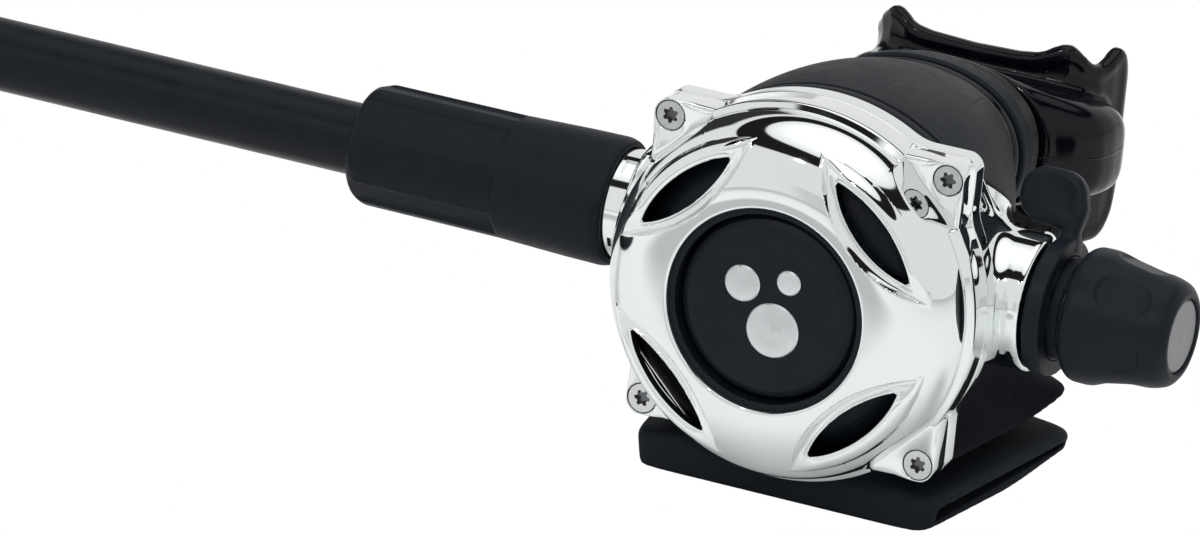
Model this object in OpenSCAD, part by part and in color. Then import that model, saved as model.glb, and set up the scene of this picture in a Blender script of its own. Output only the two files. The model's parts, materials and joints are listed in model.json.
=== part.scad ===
// Second-stage demand valve of a diving regulator, with its low-pressure hose.
// X runs along the valve barrel, +Y points to the mouthpiece, +Z is up.
// The origin lies on the rest face of the exhaust tee, straight under the barrel's axis.

/* [Layout] */
// Height of the valve barrel's axis above the rest face
axis_h = 38; // [37:0.5:40]
// Distance from the barrel's axis forward to the plane of the cover screws
setback = 18; // [17:0.5:20]
// Height of the barrel's axis above the centre of the cover
barrel_rise = 1; // [0:0.5:2]

/* [Cover] */
// Outer radius of the cover's rim
rim_r = 32; // [31.6:0.2:33]
// Height of the dome in front of the screw plane
dome_h = 12.4; // [11.8:0.2:13.5]
// Thickness of the cover's wall
cover_t = 1.5; // [1.2:0.1:1.8]
// Depth of the cover's rim behind the screw plane
rim_depth = 5; // [4.5:0.5:6]
// Distance of the cover screws' axes outside the rim
screw_out = 2.65; // [2:0.05:3.2]
// Distance from a cover screw's axis to the side of its lug
lug_edge = 2.8; // [2.5:0.1:3.4]
// Corner radius of the lugs
lug_round = 2.6; // [1.5:0.1:3.5]
// Length of a lens-shaped vent
vent_len = 20.8; // [16:0.4:22]
// Width of a lens-shaped vent
vent_w = 5.6; // [4:0.2:6]
// Distance of the vents from the centre of the cover
vent_r = 23.2; // [22.6:0.2:23.6]

/* [Purge button] */
// Radius of the button
button_r = 15.4; // [14:0.2:15.6]
// Travel of the button
button_travel = 4; // [2:0.5:4]
// Height of the button's face in front of the screw plane
button_face = 11; // [10.8:0.1:11.6]
// Radius of the button's stem
stem_r = 4; // [3:0.25:5]

/* [Screws] */
// Radius of the cover screw's shank
screw_r = 1.5; // [1:0.1:1.8]
// Radius of the cover screw's head
screw_head_r = 2.4; // [2.3:0.1:2.8]
// Height of the cover screw's head
screw_head_h = 1.6; // [1.2:0.1:2]

/* [Case] */
// Thickness of the case flange behind the cover
flange_t = 4.5; // [4:0.25:5.5]
// Wall of the case
case_wall = 2; // [1.6:0.1:2.4]
// Thickness of the sleeve over the case
sleeve_t = 1.6; // [1.2:0.1:2]
// Half the width of the oval where the sleeve ends
throat_a = 18.7; // [18:0.1:19.4]
// Half the height of the oval where the sleeve ends
throat_b = 14.2; // [13.8:0.1:14.8]
// Rise of that oval above the centre of the cover
throat_rise = 12.8; // [12:0.2:13.4]
// Distance of that oval behind the screw plane
throat_y = 44; // [43:0.5:45]
// Radius of the side bosses that hold the barrel
boss_r = 11.5; // [11:0.1:12]
// Reach of the right boss from the middle
boss_right = 36.5; // [35.5:0.25:36.8]
// Reach of the left boss from the middle
boss_left = 34.4; // [32:0.2:34.4]
// Radius of the round exhaust outlet
outlet_r = 15; // [14:0.25:15.5]

/* [Mouthpiece] */
// Width of the clamp band
clamp_w = 5.4; // [4:0.2:5.6]
// Distance of the lip flange behind the screw plane
lip_y = 70; // [69:0.5:72]
// Half the width of the lip flange
lip_half_w = 20.5; // [19:0.25:22]
// Depth of the lip flange's arch
lip_depth = 11.5; // [9:0.5:13]
// Thickness of the lip flange
lip_t = 2.2; // [1.8:0.1:3]
// Length of the bite tabs
tab_len = 12; // [9:0.5:14]

/* [Exhaust tee] */
// Half the width of the tee at its lips
tee_half_w = 29.5; // [28:0.5:30]
// Depth of the tee from front to back
tee_depth = 48; // [46:1:50]
// Wall of the tee
tee_wall = 1.8; // [1.4:0.1:2.2]

/* [Valve barrel] */
// Outer radius of the barrel
barrel_r = 7.5; // [7.3:0.1:7.8]
// Bore of the barrel
bore_r = 6; // [5.8:0.05:6.1]
// Outer radius of the venturi sleeve that turns on the barrel
venturi_r = 8.6; // [8.4:0.1:9]
// Travel of the adjusting screw
adjust_travel = 1.5; // [0.5:0.25:1.5]
// Running clearance between turning parts, on the radius
run_fit = 0.06; // [0.03:0.01:0.09]
// Clearance between parts that stay still, on the radius
seat_fit = 0.05; // [0.03:0.01:0.1]

/* [Controls] */
// Largest radius of the adjustment knob
knob_r = 11.2; // [10.6:0.1:12]
// Radius of the knob at its outer end
knob_end_r = 8.6; // [8:0.1:9.4]
// Length of the knob
knob_len = 18; // [16:0.5:20]
// Outer radius of the venturi lever's ring
lever_ring_r = 11.3; // [10.8:0.1:12]
// Width of the venturi lever's ring
lever_ring_w = 3; // [2.4:0.1:3.2]
// Height of the lever's paddle above the ring
paddle_h = 10.5; // [8:0.5:12]

/* [Hose] */
// Outer diameter of the hose
hose_d = 12; // [11:0.25:12]
// Largest radius of the hose protector
guard_r = 10.8; // [10.6:0.1:11.6]
// Length of the hose protector
guard_len = 47; // [42:1:52]
// Radius of the hose nut
nut_r = 9.3; // [9:0.1:9.5]
// Thread radius of the far fitting
thread_r = 4.76; // [4.7:0.02:4.8]
// Thread length of the far fitting
thread_len = 9; // [7:0.5:12]

/* [Hidden] */

cover_h = axis_h - barrel_rise;
screw_half = (rim_r + screw_out) / sqrt(2);    // half the distance between neighbouring cover screws
lug_half = screw_half + lug_edge;              // half the width of the square that the four lugs fill
gap = 0.3;          // clearance between parts that move against each other
eps = 0.01;         // overlap of a cut with what it cuts
fine = 96;          // facets of large round parts
round_fn = 48;      // facets of small round parts
oval_n = 40;        // points round an oval section

// ---- frames ----

// Children are placed with y behind the screw plane and z above the centre of the cover.
module in_case() {
    translate([0, -setback, cover_h]) children();
}

// Children are drawn about local z, which points forward out of the cover.
module on_cover() {
    in_case() rotate([90, 0, 0]) children();
}

// Children are drawn about local z, which runs along the barrel's axis to +X from x = at.
module on_barrel(at = 0) {
    translate([at, 0, axis_h]) rotate([0, 90, 0]) children();
}

// ---- lofted shapes ----

function signed_pow(v, p) = sign(v) * pow(abs(v), p);

// A superellipse in a plane of constant y, with its middle at height z.
function oval_y(a, b, y, z, n = 2.15) = [
    for (i = [0 : oval_n - 1])
        let (t = 360 * i / oval_n)
        [a * signed_pow(cos(t), 2 / n), y, z + b * signed_pow(sin(t), 2 / n)]
];

// A superellipse in a plane of constant z, with its middle at depth y.
function oval_z(a, b, y, z, n = 4) = [
    for (i = [0 : oval_n - 1])
        let (t = 360 * i / oval_n)
        [a * signed_pow(cos(t), 2 / n), y + b * signed_pow(sin(t), 2 / n), z]
];

// A closed solid through a row of rings with equal counts of points.
// forward is true where the rings turn by the right-hand rule about the way they are stacked.
module skin(rings, forward = true) {
    n = len(rings[0]);
    last = len(rings) - 1;
    sides = [
        for (k = [0 : last - 1], i = [0 : n - 1])
            let (j = (i + 1) % n, a = k * n + i, b = k * n + j, c = a + n, d = b + n)
            each (forward ? [[a, c, b], [b, c, d]] : [[a, b, c], [b, d, c]])
    ];
    up = [for (i = [0 : n - 1]) i];
    down = [for (i = [n - 1 : -1 : 0]) i];
    near = forward ? up : down;
    far = [for (i = forward ? down : up) last * n + i];
    polyhedron(points = [for (ring = rings) each ring], faces = concat(sides, [near, far]), convexity = 6);
}

function unit(v) = v / norm(v);
function heading(path, i) = unit(path[min(i + 1, len(path) - 1)] - path[max(i - 1, 0)]);

// A ring of a tube round point i of the path, square to the path there.
function tube_ring(path, i, r, sides) =
    let (along = heading(path, i), side = unit(cross(along, [0, 0, 1])), top = cross(side, along))
    [for (k = [0 : sides - 1]) path[i] + r * (cos(360 * k / sides) * top + sin(360 * k / sides) * side)];

module tube(path, r, sides) {
    skin([for (i = [0 : len(path) - 1]) tube_ring(path, i, r, sides)], false);
}

// A ring of round section about local z.
module torus(mid_r, r) {
    rotate_extrude($fn = fine) translate([mid_r, 0]) circle(r, $fn = 24);
}

// A coil spring of wire radius r about local z from z0 to z1.
module spring(mid_r, r, z0, z1, turns) {
    steps = ceil(turns * 8);
    path = [
        for (i = [0 : steps])
            let (t = 360 * turns * i / steps)
            [mid_r * cos(t), mid_r * sin(t), z0 + r + (z1 - z0 - 2 * r) * i / steps]
    ];
    skin([
        for (i = [0 : steps])
            let (t = 360 * turns * i / steps, out = [cos(t), sin(t), 0])
            [for (k = [0 : 5]) path[i] + r * (cos(60 * k) * out + sin(60 * k) * [0, 0, 1])]
    ], false);
}

// ---- cover ----

crease = 1.6;                        // height of the rim's front edge above the screw plane
lip_r = button_r + 1.7;              // radius of the opening round the button
dome_a = rim_r - 1 - lip_r - 0.5;    // half axes of the dome's elliptical section
dome_b = dome_h - crease;

// Section of the dome, drawn smaller by inset.
function dome_arc(inset) = [
    for (t = [0 : 7.5 : 90]) [lip_r + 0.5 + (dome_a - inset) * cos(t), crease + (dome_b - inset) * sin(t)]
];

// One lug's outline in the screw plane, in the corner where x and y are positive.
module lug_outline() {
    mid = lug_half - lug_round;
    polygon(concat(
        [[12, 12], [lug_half, 12]],
        [for (t = [0 : 15 : 90]) [mid + lug_round * cos(t), mid + lug_round * sin(t)]],
        [[12, lug_half]]
    ));
}

module at_corners() {
    for (a = [0 : 90 : 270]) rotate([0, 0, a]) children();
}

module lens_outline(length, width) {
    r = (length * length + width * width) / (4 * width);
    intersection() {
        translate([r - width / 2, 0]) circle(r, $fn = fine);
        translate([width / 2 - r, 0]) circle(r, $fn = fine);
    }
}

module at_vents() {
    for (a = [45 : 90 : 315]) rotate([0, 0, a]) translate([vent_r, 0, 0]) children();
}

module dome_solid() {
    rotate_extrude($fn = fine)
        polygon(concat(
            [[lip_r - 4, -rim_depth], [rim_r - 0.3, -rim_depth], [rim_r, 0.3 - rim_depth],
            [rim_r, crease - 0.7]],
            dome_arc(0), [[lip_r - 4, dome_h]]
        ));
}

// A layer over the dome's middle, from which the raised rims of the vents are cut.
module rim_shell() {
    function arc(inset, way) = [
        for (t = way > 0 ? [22.5 : 7.5 : 82.5] : [82.5 : -7.5 : 22.5])
            [lip_r + 0.5 + (dome_a - inset) * cos(t), crease + (dome_b - inset) * sin(t)]
    ];
    rotate_extrude($fn = fine) polygon(concat(arc(-0.55, 1), arc(cover_t / 2, -1)));
}

module front_cover() {
    facet_low = rim_r - 1.4;
    facet_high = facet_low - 1.76;        // where the facet's plane has left the dome
    color("silver") on_cover() difference() {
        union() {
            dome_solid();
            translate([0, 0, -rim_depth]) at_corners() linear_extrude(rim_depth) lug_outline();
            intersection() {
                rim_shell();
                at_vents() linear_extrude(30) lens_outline(vent_len + 3.4, vent_w + 2.4);
            }
        }
        // hollow inside and opening for the button
        rotate_extrude($fn = fine)
            polygon(concat(
                [[0, -rim_depth - 1], [rim_r - 2, -rim_depth - 1], [rim_r - 2, crease]],
                dome_arc(cover_t), [[lip_r, crease + dome_b - cover_t], [lip_r, dome_h - 0.4],
                [lip_r + 0.8, dome_h + 0.4], [lip_r + 0.8, dome_h + 1], [0, dome_h + 1]]
            ));
        at_vents() linear_extrude(30) lens_outline(vent_len, vent_w);
        // walls that the dome drops to at the lugs
        for (a = [45 : 90 : 315]) rotate([90, 0, a]) translate([0, 0, -9]) linear_extrude(18)
            polygon([[facet_low, 0], [facet_high, 11], [rim_r + 9, 11], [rim_r + 9, 0]]);
        at_corners() translate([screw_half, screw_half, 0]) {
            translate([0, 0, -rim_depth - 1])
                cylinder(r = screw_r + seat_fit, h = rim_depth + 2, $fn = round_fn);
            translate([0, 0, -screw_head_h - 0.2]) cylinder(r = screw_head_r + 0.3, h = 4, $fn = round_fn);
        }
    }
}

well_r = lip_r - 1.1;                         // inner radius of the well that the button moves in
web_top = button_face - 3.4 - button_travel - 0.4;
web_t = 1.6;
bead_h = 1.8;                                 // height of the diaphragm's bead

module cover_insert() {
    low = 3.2;                                // how far its skin lies under the cover's inner face
    skin_t = 1.2;
    drop = cover_t + low;
    color("black") on_cover() difference() {
        rotate_extrude($fn = fine)
            polygon(concat(
                [[stem_r + 0.3, web_top - web_t], [well_r, web_top - web_t], [well_r + 1, crease],
                [rim_r - 2.1 - skin_t, crease - 3.2], [rim_r - 2.1 - skin_t, bead_h + seat_fit - rim_depth],
                [rim_r - 2.05, bead_h + seat_fit - rim_depth], [rim_r - 2.05, crease - 2.2]],
                [for (t = [7.5 : 7.5 : 82.5])
                    [lip_r + 0.5 + (dome_a - drop) * cos(t), crease + (dome_b - drop) * sin(t)]],
                [[lip_r - 0.05, dome_h - cover_t - low], [lip_r - 0.05, dome_h - 1], [well_r, dome_h - 1],
                [well_r, web_top], [stem_r + 0.3, web_top]]
            ));
        for (a = [0 : 60 : 300]) rotate([0, 0, a]) translate([0, 0, web_top - web_t - 1])
            linear_extrude(web_t + 2) polygon([for (t = [-20 : 10 : 20]) [13 * cos(t), 13 * sin(t)],
                for (t = [14 : -14 : -14]) [7 * cos(t), 7 * sin(t)]]);
    }
}

module cover_screws() {
    color("silver") on_cover() at_corners() translate([screw_half, screw_half, 0]) difference() {
        union() {
            translate([0, 0, -screw_head_h - 0.15])
                cylinder(r = screw_head_r, h = screw_head_h, $fn = round_fn);
            translate([0, 0, 0.7 - rim_depth - flange_t])
                cylinder(r = screw_r, h = rim_depth + flange_t - screw_head_h - 0.8, $fn = round_fn);
        }
        translate([0, 0, -1.15]) cylinder(r = 1, h = 2, $fn = 24);
        for (a = [0 : 60 : 300]) rotate([0, 0, a]) translate([1.05, 0, -1.15])
            cylinder(r = 0.35, h = 2, $fn = 16);
    }
}

// ---- purge button and diaphragm ----

button_back = button_face - 3.4;
recess_top = button_face - 1.6;
plate_front = -2.4;                   // front of the diaphragm's plate, against the screw plane
plate_back = plate_front - 1.2;
bubbles = [[1.4, -3.4, 4.6], [-4.6, 3.4, 3.1], [3.4, 5.2, 2.1]];

module purge_button() {
    color([0.1, 0.1, 0.11]) on_cover() difference() {
        union() {
            rotate_extrude($fn = fine) polygon([
                [0, recess_top], [12.4, recess_top], [12.8, button_back], [button_r - 0.2, button_back],
                [button_r, button_back + 0.2], [button_r, button_face - 1.5],
                [button_r - 0.5, button_face - 0.7],
                [button_r - 1.4, button_face - 0.2], [button_r - 2.4, button_face], [0, button_face]
            ]);
            translate([0, 0, plate_front + gap])
                cylinder(r = stem_r, h = recess_top - plate_front, $fn = round_fn);
        }
        for (b = bubbles) translate([b[0], b[1], button_face - 0.4])
            cylinder(r = b[2] + 0.03, h = 1, $fn = round_fn);
        // groove for the clip
        translate([0, 0, web_top - web_t - 0.9]) difference() {
            cylinder(r = stem_r + 1, h = 0.6, $fn = round_fn);
            translate([0, 0, -1]) cylinder(r = stem_r - 0.8, h = 3, $fn = round_fn);
        }
    }
}

module button_inlay() {
    color("gainsboro") on_cover() for (b = bubbles) translate([b[0], b[1], button_face - 0.4])
        rotate_extrude($fn = round_fn)
            polygon([[0, 0], [b[2], 0], [b[2], 0.5], [b[2] - 0.2, 0.7], [b[2] * 0.6, 0.8], [0, 0.85]]);
}

module button_clip() {
    color("silver") on_cover() translate([0, 0, web_top - web_t - 0.85]) difference() {
        cylinder(r = stem_r + 1.8, h = 0.5, $fn = round_fn);
        translate([0, 0, -1]) cylinder(r = stem_r - 0.8 + seat_fit, h = 3, $fn = round_fn);
        translate([0, -2.5, -1]) cube([20, 5, 3]);
    }
}

module purge_spring() {
    color("silver") on_cover() spring(8.6, 0.45, web_top + 0.05, recess_top - 0.05, 3.5);
}

membrane_r = 13;                       // outer radius of the plate in the diaphragm's middle

module diaphragm() {
    back = -rim_depth;
    web = plate_front - 1.1;
    color([0.2, 0.2, 0.22]) on_cover() rotate_extrude($fn = fine) polygon([
        [membrane_r + 0.25, web], [19, web], [21, web - 1.6], [23.5, web - 1.6], [25.5, back],
        [rim_r - 2.4, back], [rim_r - 2.4, back + bead_h], [rim_r - 4, back + bead_h], [26.2, back + 1],
        [24.2, web - 0.8], [20.6, web - 0.8], [18.8, web + 0.8], [membrane_r + 0.25, web + 0.8]
    ]);
}

module diaphragm_plate() {
    color("dimgray") on_cover() rotate_extrude($fn = fine) polygon([
        [0, plate_back], [membrane_r, plate_back], [membrane_r, plate_front - 0.3],
        [membrane_r - 0.6, plate_front], [0, plate_front]
    ]);
}

// ---- case ----

body_start = rim_depth + flange_t;

// Oval section of the body at depth y, grown by g: from a circle behind the flange to the throat.
function body_oval(y, g = 0) =
    let (
        t = (y - body_start) / (throat_y - body_start),
        swell = 1.7 * 4 * t * (1 - t),
        round_r = rim_r - 0.8,
        a = round_r + (throat_a - round_r) * t + swell + g,
        b = round_r + (throat_b - round_r) * t + swell + g
    )
    oval_y(a, b, y, throat_rise * t, 2 + 0.15 * t);

// Depths at which the body's sections lie, the same for the case and the sleeve so that they fit.
body_steps = [for (k = [0 : 5]) body_start + (throat_y - body_start) * k / 5];

module body_solid(g, y0 = body_start, y1 = throat_y) {
    inner = [for (y = body_steps) if (y > y0 + 0.1 && y < y1 - 0.1) y];
    skin([for (y = concat([y0], inner, [y1])) body_oval(y, g)], false);
}

spout_a = throat_a - 4.1;             // half axes of the oval spout that the mouthpiece fits over
spout_b = throat_b - 4.1;
spout_wall = 1.6;
spout_end = 60;
ring_y = throat_y + 4.4;              // where the glossy ring meets the matte ring
clamp_y = ring_y + 4.2;               // where the matte ring meets the clamp

module spout_solid(g, y0, y1) {
    skin([for (y = [y0, y1])
        oval_y(spout_a + g, spout_b + g, y, throat_rise - 0.12 * (y - throat_y))], false);
}

// Everything under the slanting edge of the sleeve, which runs down from the flange to the bosses.
module below_sleeve(shift = 0) {
    slope = 31.5;
    translate([0, body_start, 24.2 + shift]) rotate([-slope, 0, 0])
        translate([-50, -30, -80]) cube([100, 110, 80]);
}

outlet_y = 28;                        // depth of the exhaust outlet's axis behind the screw plane
outlet_z = -24.4;                     // height of the outlet's face
outlet_wall = 2.2;
outlet_h = 28;                        // length of the outlet's tube, up into the case
stem_hole_r = 1.3;

module case_outside() {
    in_case() {
        translate([0, body_start, 0]) rotate([90, 0, 0]) {
            cylinder(r = rim_r - 0.1, h = flange_t - seat_fit, $fn = fine);
            at_corners() linear_extrude(flange_t - seat_fit) lug_outline();
        }
        body_solid(-sleeve_t - seat_fit, body_start - 1, throat_y);
        intersection() {
            body_solid(0, body_start - 1, throat_y);
            below_sleeve(-seat_fit);
        }
        spout_solid(0, throat_y - 2, spout_end);
        translate([0, outlet_y, outlet_z]) cylinder(r = outlet_r, h = outlet_h, $fn = fine);
        // webs from the upper lugs to the bosses
        for (s = [-1, 1]) hull() {
            translate([s * (lug_half - 3), body_start - 1.6, lug_half - 4])
                rotate([90, 0, 0]) cylinder(r = 2, h = 1, $fn = 24);
            translate([s * (lug_half - 2), setback + 6, barrel_rise + 5])
                rotate([0, 90, 0]) cylinder(r = 4, h = 4, center = true, $fn = 24);
            translate([s * 20, setback - 2, barrel_rise + 3]) cube(4, center = true);
        }
    }
    on_barrel(15) cylinder(r = boss_r, h = boss_right - 15, $fn = fine);
    on_barrel(-boss_left) cylinder(r = boss_r, h = boss_left - 15, $fn = fine);
}

module case() {
    color("silver") {
        difference() {
            case_outside();
            in_case() {
                translate([0, rim_depth - 1, 0]) rotate([-90, 0, 0])
                    cylinder(r = rim_r - 4.8, h = flange_t + 1.5, $fn = fine);
                body_solid(-sleeve_t - case_wall - 1.1, body_start + eps, throat_y - 2);
                spout_solid(-spout_wall, throat_y - 4, spout_end + 1);
                translate([0, outlet_y, outlet_z - 8]) cylinder(r = outlet_r - 0.7, h = 8, $fn = fine);
                translate([0, outlet_y, outlet_z - 1])
                    cylinder(r = outlet_r - outlet_wall, h = outlet_h, $fn = fine);
                // blind holes for the cover screws
                translate([0, body_start - 0.3, 0]) rotate([90, 0, 0]) at_corners()
                    translate([screw_half, screw_half, 0])
                        cylinder(r = screw_r + seat_fit, h = flange_t + 1, $fn = round_fn);
            }
            on_barrel(8) cylinder(r = venturi_r + run_fit, h = boss_right, $fn = fine);
            on_barrel(-boss_left - 1) cylinder(r = barrel_r + seat_fit, h = 28, $fn = fine);
        }
        // spokes that carry the exhaust valve
        in_case() translate([0, outlet_y, outlet_z]) difference() {
            union() {
                cylinder(r = 3.4, h = 2, $fn = round_fn);
                for (a = [0, 60, 120]) rotate([0, 0, a]) translate([0, 0, 1])
                    cube([2 * (outlet_r - 1), 1.8, 2], center = true);
            }
            translate([0, 0, -1]) cylinder(r = stem_hole_r, h = 4, $fn = 24);
        }
    }
}

valve_disc_r = outlet_r - 1.2;

module exhaust_valve() {
    color([0.15, 0.15, 0.16]) in_case() translate([0, outlet_y, outlet_z - seat_fit])
        rotate_extrude($fn = fine)
        polygon([
            [0, -2], [1.8, -2], [3, -1.4], [valve_disc_r - 0.2, -0.8], [valve_disc_r, -0.3],
            [valve_disc_r - 0.2, 0],
            [stem_hole_r - 0.1, 0], [stem_hole_r - 0.1, 2.2], [stem_hole_r + 0.7, 2.6],
            [stem_hole_r + 0.5, 3.6],
            [0, 5]
        ]);
}

// ---- sleeve and rings over the case ----

module body_sleeve() {
    color([0.12, 0.13, 0.14]) in_case() difference() {
        body_solid(0);
        body_solid(-sleeve_t, body_start - 1, throat_y + 1);
        below_sleeve();
    }
}

module oval_band(grow, y0, y1, bulge = 0) {
    drop = 0.12;
    skin([
        for (k = [0 : 4])
            let (
                t = k / 4,
                y = y0 + (y1 - y0) * t,
                g = grow - (k == 0 || k == 4 ? 0.4 : 0) + bulge * sin(180 * t)
            )
            oval_y(throat_a + g, throat_b + g, y, throat_rise - drop * (y - throat_y))
    ], false);
}

module band(grow, y0, y1, bulge = 0) {
    in_case() difference() {
        oval_band(grow, y0, y1, bulge);
        spout_solid(seat_fit, y0 - 1, y1 + 1);
    }
}

module gloss_ring() {
    color("black") band(-0.5, throat_y + seat_fit, ring_y, 0.3);
}

module matte_ring() {
    color([0.14, 0.15, 0.16]) band(0.2, ring_y + seat_fit, clamp_y);
}

// ---- mouthpiece ----

cuff_t = 1.7;                         // wall of the mouthpiece where the clamp holds it
neck_end = lip_y + 7;                 // back of the solid neck, behind the lip flange's middle

// Height of the lip flange's upper and lower edges from its middle at angle p round the arch.
function lip_top(p) = lookup(abs(p), [[0, 14], [25, 13.8], [45, 16.5], [64, 12.4], [80, 14.2], [88, 12.6]]);
function lip_bottom(p) = -lookup(abs(p), [[0, 13.5], [25, 14], [48, 17], [66, 14], [80, 15], [88, 13]]);

// Section of the lip flange at angle p, with small round edges.
function lip_ring(p) =
    let (
        back = 1 - cos(p),
        out = unit([2 * back * sin(p) * lip_depth, -cos(p) * lip_half_w, 0]),
        mid = [lip_half_w * sin(p), lip_y + lip_depth * back * back, mouth_z],
        h = lip_t / 2,
        up = lip_top(p),
        down = lip_bottom(p)
    )
    [for (q = [[h, down + 1], [0.4, down], [-0.4, down], [-h, down + 1], [-h, 0], [-h, up - 1], [-0.4, up],
        [0.4, up], [h, up - 1], [h, 0]]) mid + q[0] * out + [0, 0, q[1]]];

mouth_z = throat_rise - 0.12 * (lip_y - throat_y);
tab_end = lip_y + 9 + tab_len;
tab_t = 3;                            // thickness of a bite tab
ridge_h = 3.6;                        // reach of its ridge above and below its middle

module mouthpiece_outside() {
    cuff = spout_wall + seat_fit;
    // cuff, then a neck that swells towards the lips
    skin([
        for (q = [
            [clamp_y + seat_fit, 0, 0, 2.3], [clamp_y + clamp_w, 0, 0, 2.3],
            [clamp_y + clamp_w + 0.6, 1.8, 0.2, 2.3],
            [clamp_y + clamp_w + 3.4, 6, -0.2, 2.8], [lip_y - 5, 8.8, -1.6, 3.8],
            [lip_y - 1, 9.8, -2.4, 4.4],
            [lip_y + 2, 9.8, -2.5, 4.4], [neck_end - 2, 8.6, -3, 4], [neck_end, 6.4, -4.6, 3.4]
        ])
            let (a = spout_a + cuff_t + q[1], b = spout_b + cuff_t + q[2])
            oval_y(a, b, q[0], throat_rise - 0.12 * (q[0] - throat_y), q[3])
    ], false);
    skin([for (p = [-88 : 8 : 88]) lip_ring(p)], true);
    // bite tabs, each a rounded plate with a fillet at its root and a low ridge across its end
    for (s = [-1, 1]) {
        hull() for (x = [13.2, 18.2], y = [lip_y + 5, tab_end - 2.2]) translate([s * x, y, mouth_z])
            cylinder(r = x > 15 ? 2.2 : 1.8, h = tab_t, center = true, $fn = 24);
        hull() for (x = [13, 18], z = [-ridge_h, ridge_h]) translate([s * x, tab_end - 1.2, mouth_z + z])
            rotate([90, 0, 0]) cylinder(r = 1.2, h = 2, center = true, $fn = 24);
        for (u = [-1, 1]) {
            hull() for (q = [[lip_y + 4.4, 3.4], [lip_y + 7, 1.3]])
                translate([s * 15.4, q[0], mouth_z + u * q[1] / 2])
                rotate([0, 90, 0]) cylinder(r = q[1] / 2 + 0.2, h = 6, center = true, $fn = 16);
            hull() for (q = [[tab_end - 4.4, 0.6], [tab_end - 1.4, 2.6]])
                translate([s * 15.6, q[0], mouth_z + u * q[1] / 2])
                    rotate([0, 90, 0]) cylinder(r = q[1] / 2 + 0.3, h = 6, center = true, $fn = 16);
        }
    }
}

module mouthpiece() {
    color([0.08, 0.08, 0.09]) in_case() difference() {
        mouthpiece_outside();
        spout_solid(seat_fit, clamp_y - 1, spout_end + seat_fit);
        spout_solid(-spout_wall, spout_end - 1, lip_y + 12);
    }
}

module mouthpiece_clamp() {
    color("dimgray") in_case() difference() {
        skin([
            for (q = [[0.1, 0.9], [0.5, 1.5], [1.6, 1.5], [2.2, 1.1], [2.8, 1.5], [clamp_w - 0.5, 1.5],
                [clamp_w, 0.9]])
                let (y = clamp_y + q[0], g = cuff_t + q[1])
                oval_y(spout_a + g, spout_b + g, y, throat_rise - 0.12 * (y - throat_y), 2.3)
        ], false);
        skin([
            for (y = [clamp_y - 1, clamp_y + clamp_w + 1])
                oval_y(spout_a + cuff_t + seat_fit, spout_b + cuff_t + seat_fit, y,
                    throat_rise - 0.12 * (y - throat_y), 2.3)
        ], false);
    }
}

// ---- exhaust tee ----

foot_z = -cover_h;                    // height of the rest face from the middle of the cover
tee_front = 2.6;
tee_mid = tee_front + tee_depth / 2;
tee_flare = 0.0042;                   // share of its width that it gains for each mm towards the back

// Rings of the tee from its foot up to the saddle: height, half width, half depth, shift back, squareness.
function tee_rows() = [
    [foot_z, tee_half_w - 3.4, tee_depth / 2 - 0.6, 0, 12],
    [foot_z + 1, tee_half_w - 1.4, tee_depth / 2, 0, 12],
    [foot_z + 4.4, tee_half_w - 0.2, tee_depth / 2, 0, 12],
    [foot_z + 5.4, tee_half_w, tee_depth / 2 - 0.2, 0, 11],
    [foot_z + 6.2, tee_half_w - 0.6, tee_depth / 2 - 0.6, 0, 10],
    [foot_z + 7.4, tee_half_w - 7, tee_depth / 2 - 1.4, 0, 6],
    [foot_z + 8.8, tee_half_w - 8, tee_depth / 2 - 1.8, 0, 6],
    [foot_z + 9.8, tee_half_w - 2, tee_depth / 2 - 1.6, 0.6, 5],
    [foot_z + 11, tee_half_w - 1.8, tee_depth / 2 - 2, 1, 5],
    [foot_z + 14, tee_half_w - 4, tee_depth / 2 - 3.4, 2, 4],
    [foot_z + 18, tee_half_w - 7.6, tee_depth / 2 - 5.4, 2, 3.2],
    [foot_z + 24, tee_half_w - 9.6, tee_depth / 2 - 6.6, 2, 3],
    [foot_z + 30, tee_half_w - 10.4, tee_depth / 2 - 7, 2, 2.8]
];

module tee_solid(inset, from, to) {
    rows = tee_rows();
    skin([
        for (k = [from : to]) let (r = rows[k])
            [for (p = oval_z(r[1] - inset, r[2] - inset, tee_mid + r[3], r[0], r[4]))
                [p[0] * (1 + tee_flare * (p[1] - tee_mid)), p[1], p[2]]]
    ]);
}

module exhaust_tee() {
    mouth_low = foot_z + 1.7;
    mouth_high = foot_z + 4;
    color([0.1, 0.1, 0.11]) in_case() difference() {
        tee_solid(0, 0, 12);
        // saddle that fits the underside of the case
        body_solid(0.15, body_start - 2, throat_y);
        translate([0, body_start + gap, 0]) rotate([90, 0, 0]) {
            cylinder(r = rim_r + gap, h = 30, $fn = fine);
            at_corners() linear_extrude(30) offset(gap) lug_outline();
        }
        translate([0, outlet_y, outlet_z - 0.2]) cylinder(r = outlet_r + seat_fit, h = 20, $fn = fine);
        // chamber round the exhaust valve, and the ducts that lead to the lips
        translate([0, outlet_y, foot_z + 2]) cylinder(r = outlet_r - 0.3, h = 20, $fn = round_fn);
        for (s = [-1, 1]) {
            skin([
                for (q = [[10, 11, 6], [tee_half_w - 8, 15, 3.2], [tee_half_w + 5, 18, 2.3]])
                    [for (p = [[-1, 0], [1, 0], [1, 1], [-1, 1]])
                        [s * q[0], outlet_y + 3 + p[0] * q[1], mouth_low + p[1] * q[2]]]
            ], s > 0);
        }
    }
}

// ---- valve barrel and what it holds ----

barrel_left = -40.5;
barrel_right = 42.2;
seat_x = -7.4;                        // face of the poppet's seat
collar_x = 11.2;                      // front of the poppet's collar
pad_x = 24.4;                         // front of the spring's pad
screw_x = 26.2;                       // inner end of the adjusting screw
pivot = [10, -5.2];                   // x and y of the lever's pivot

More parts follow.
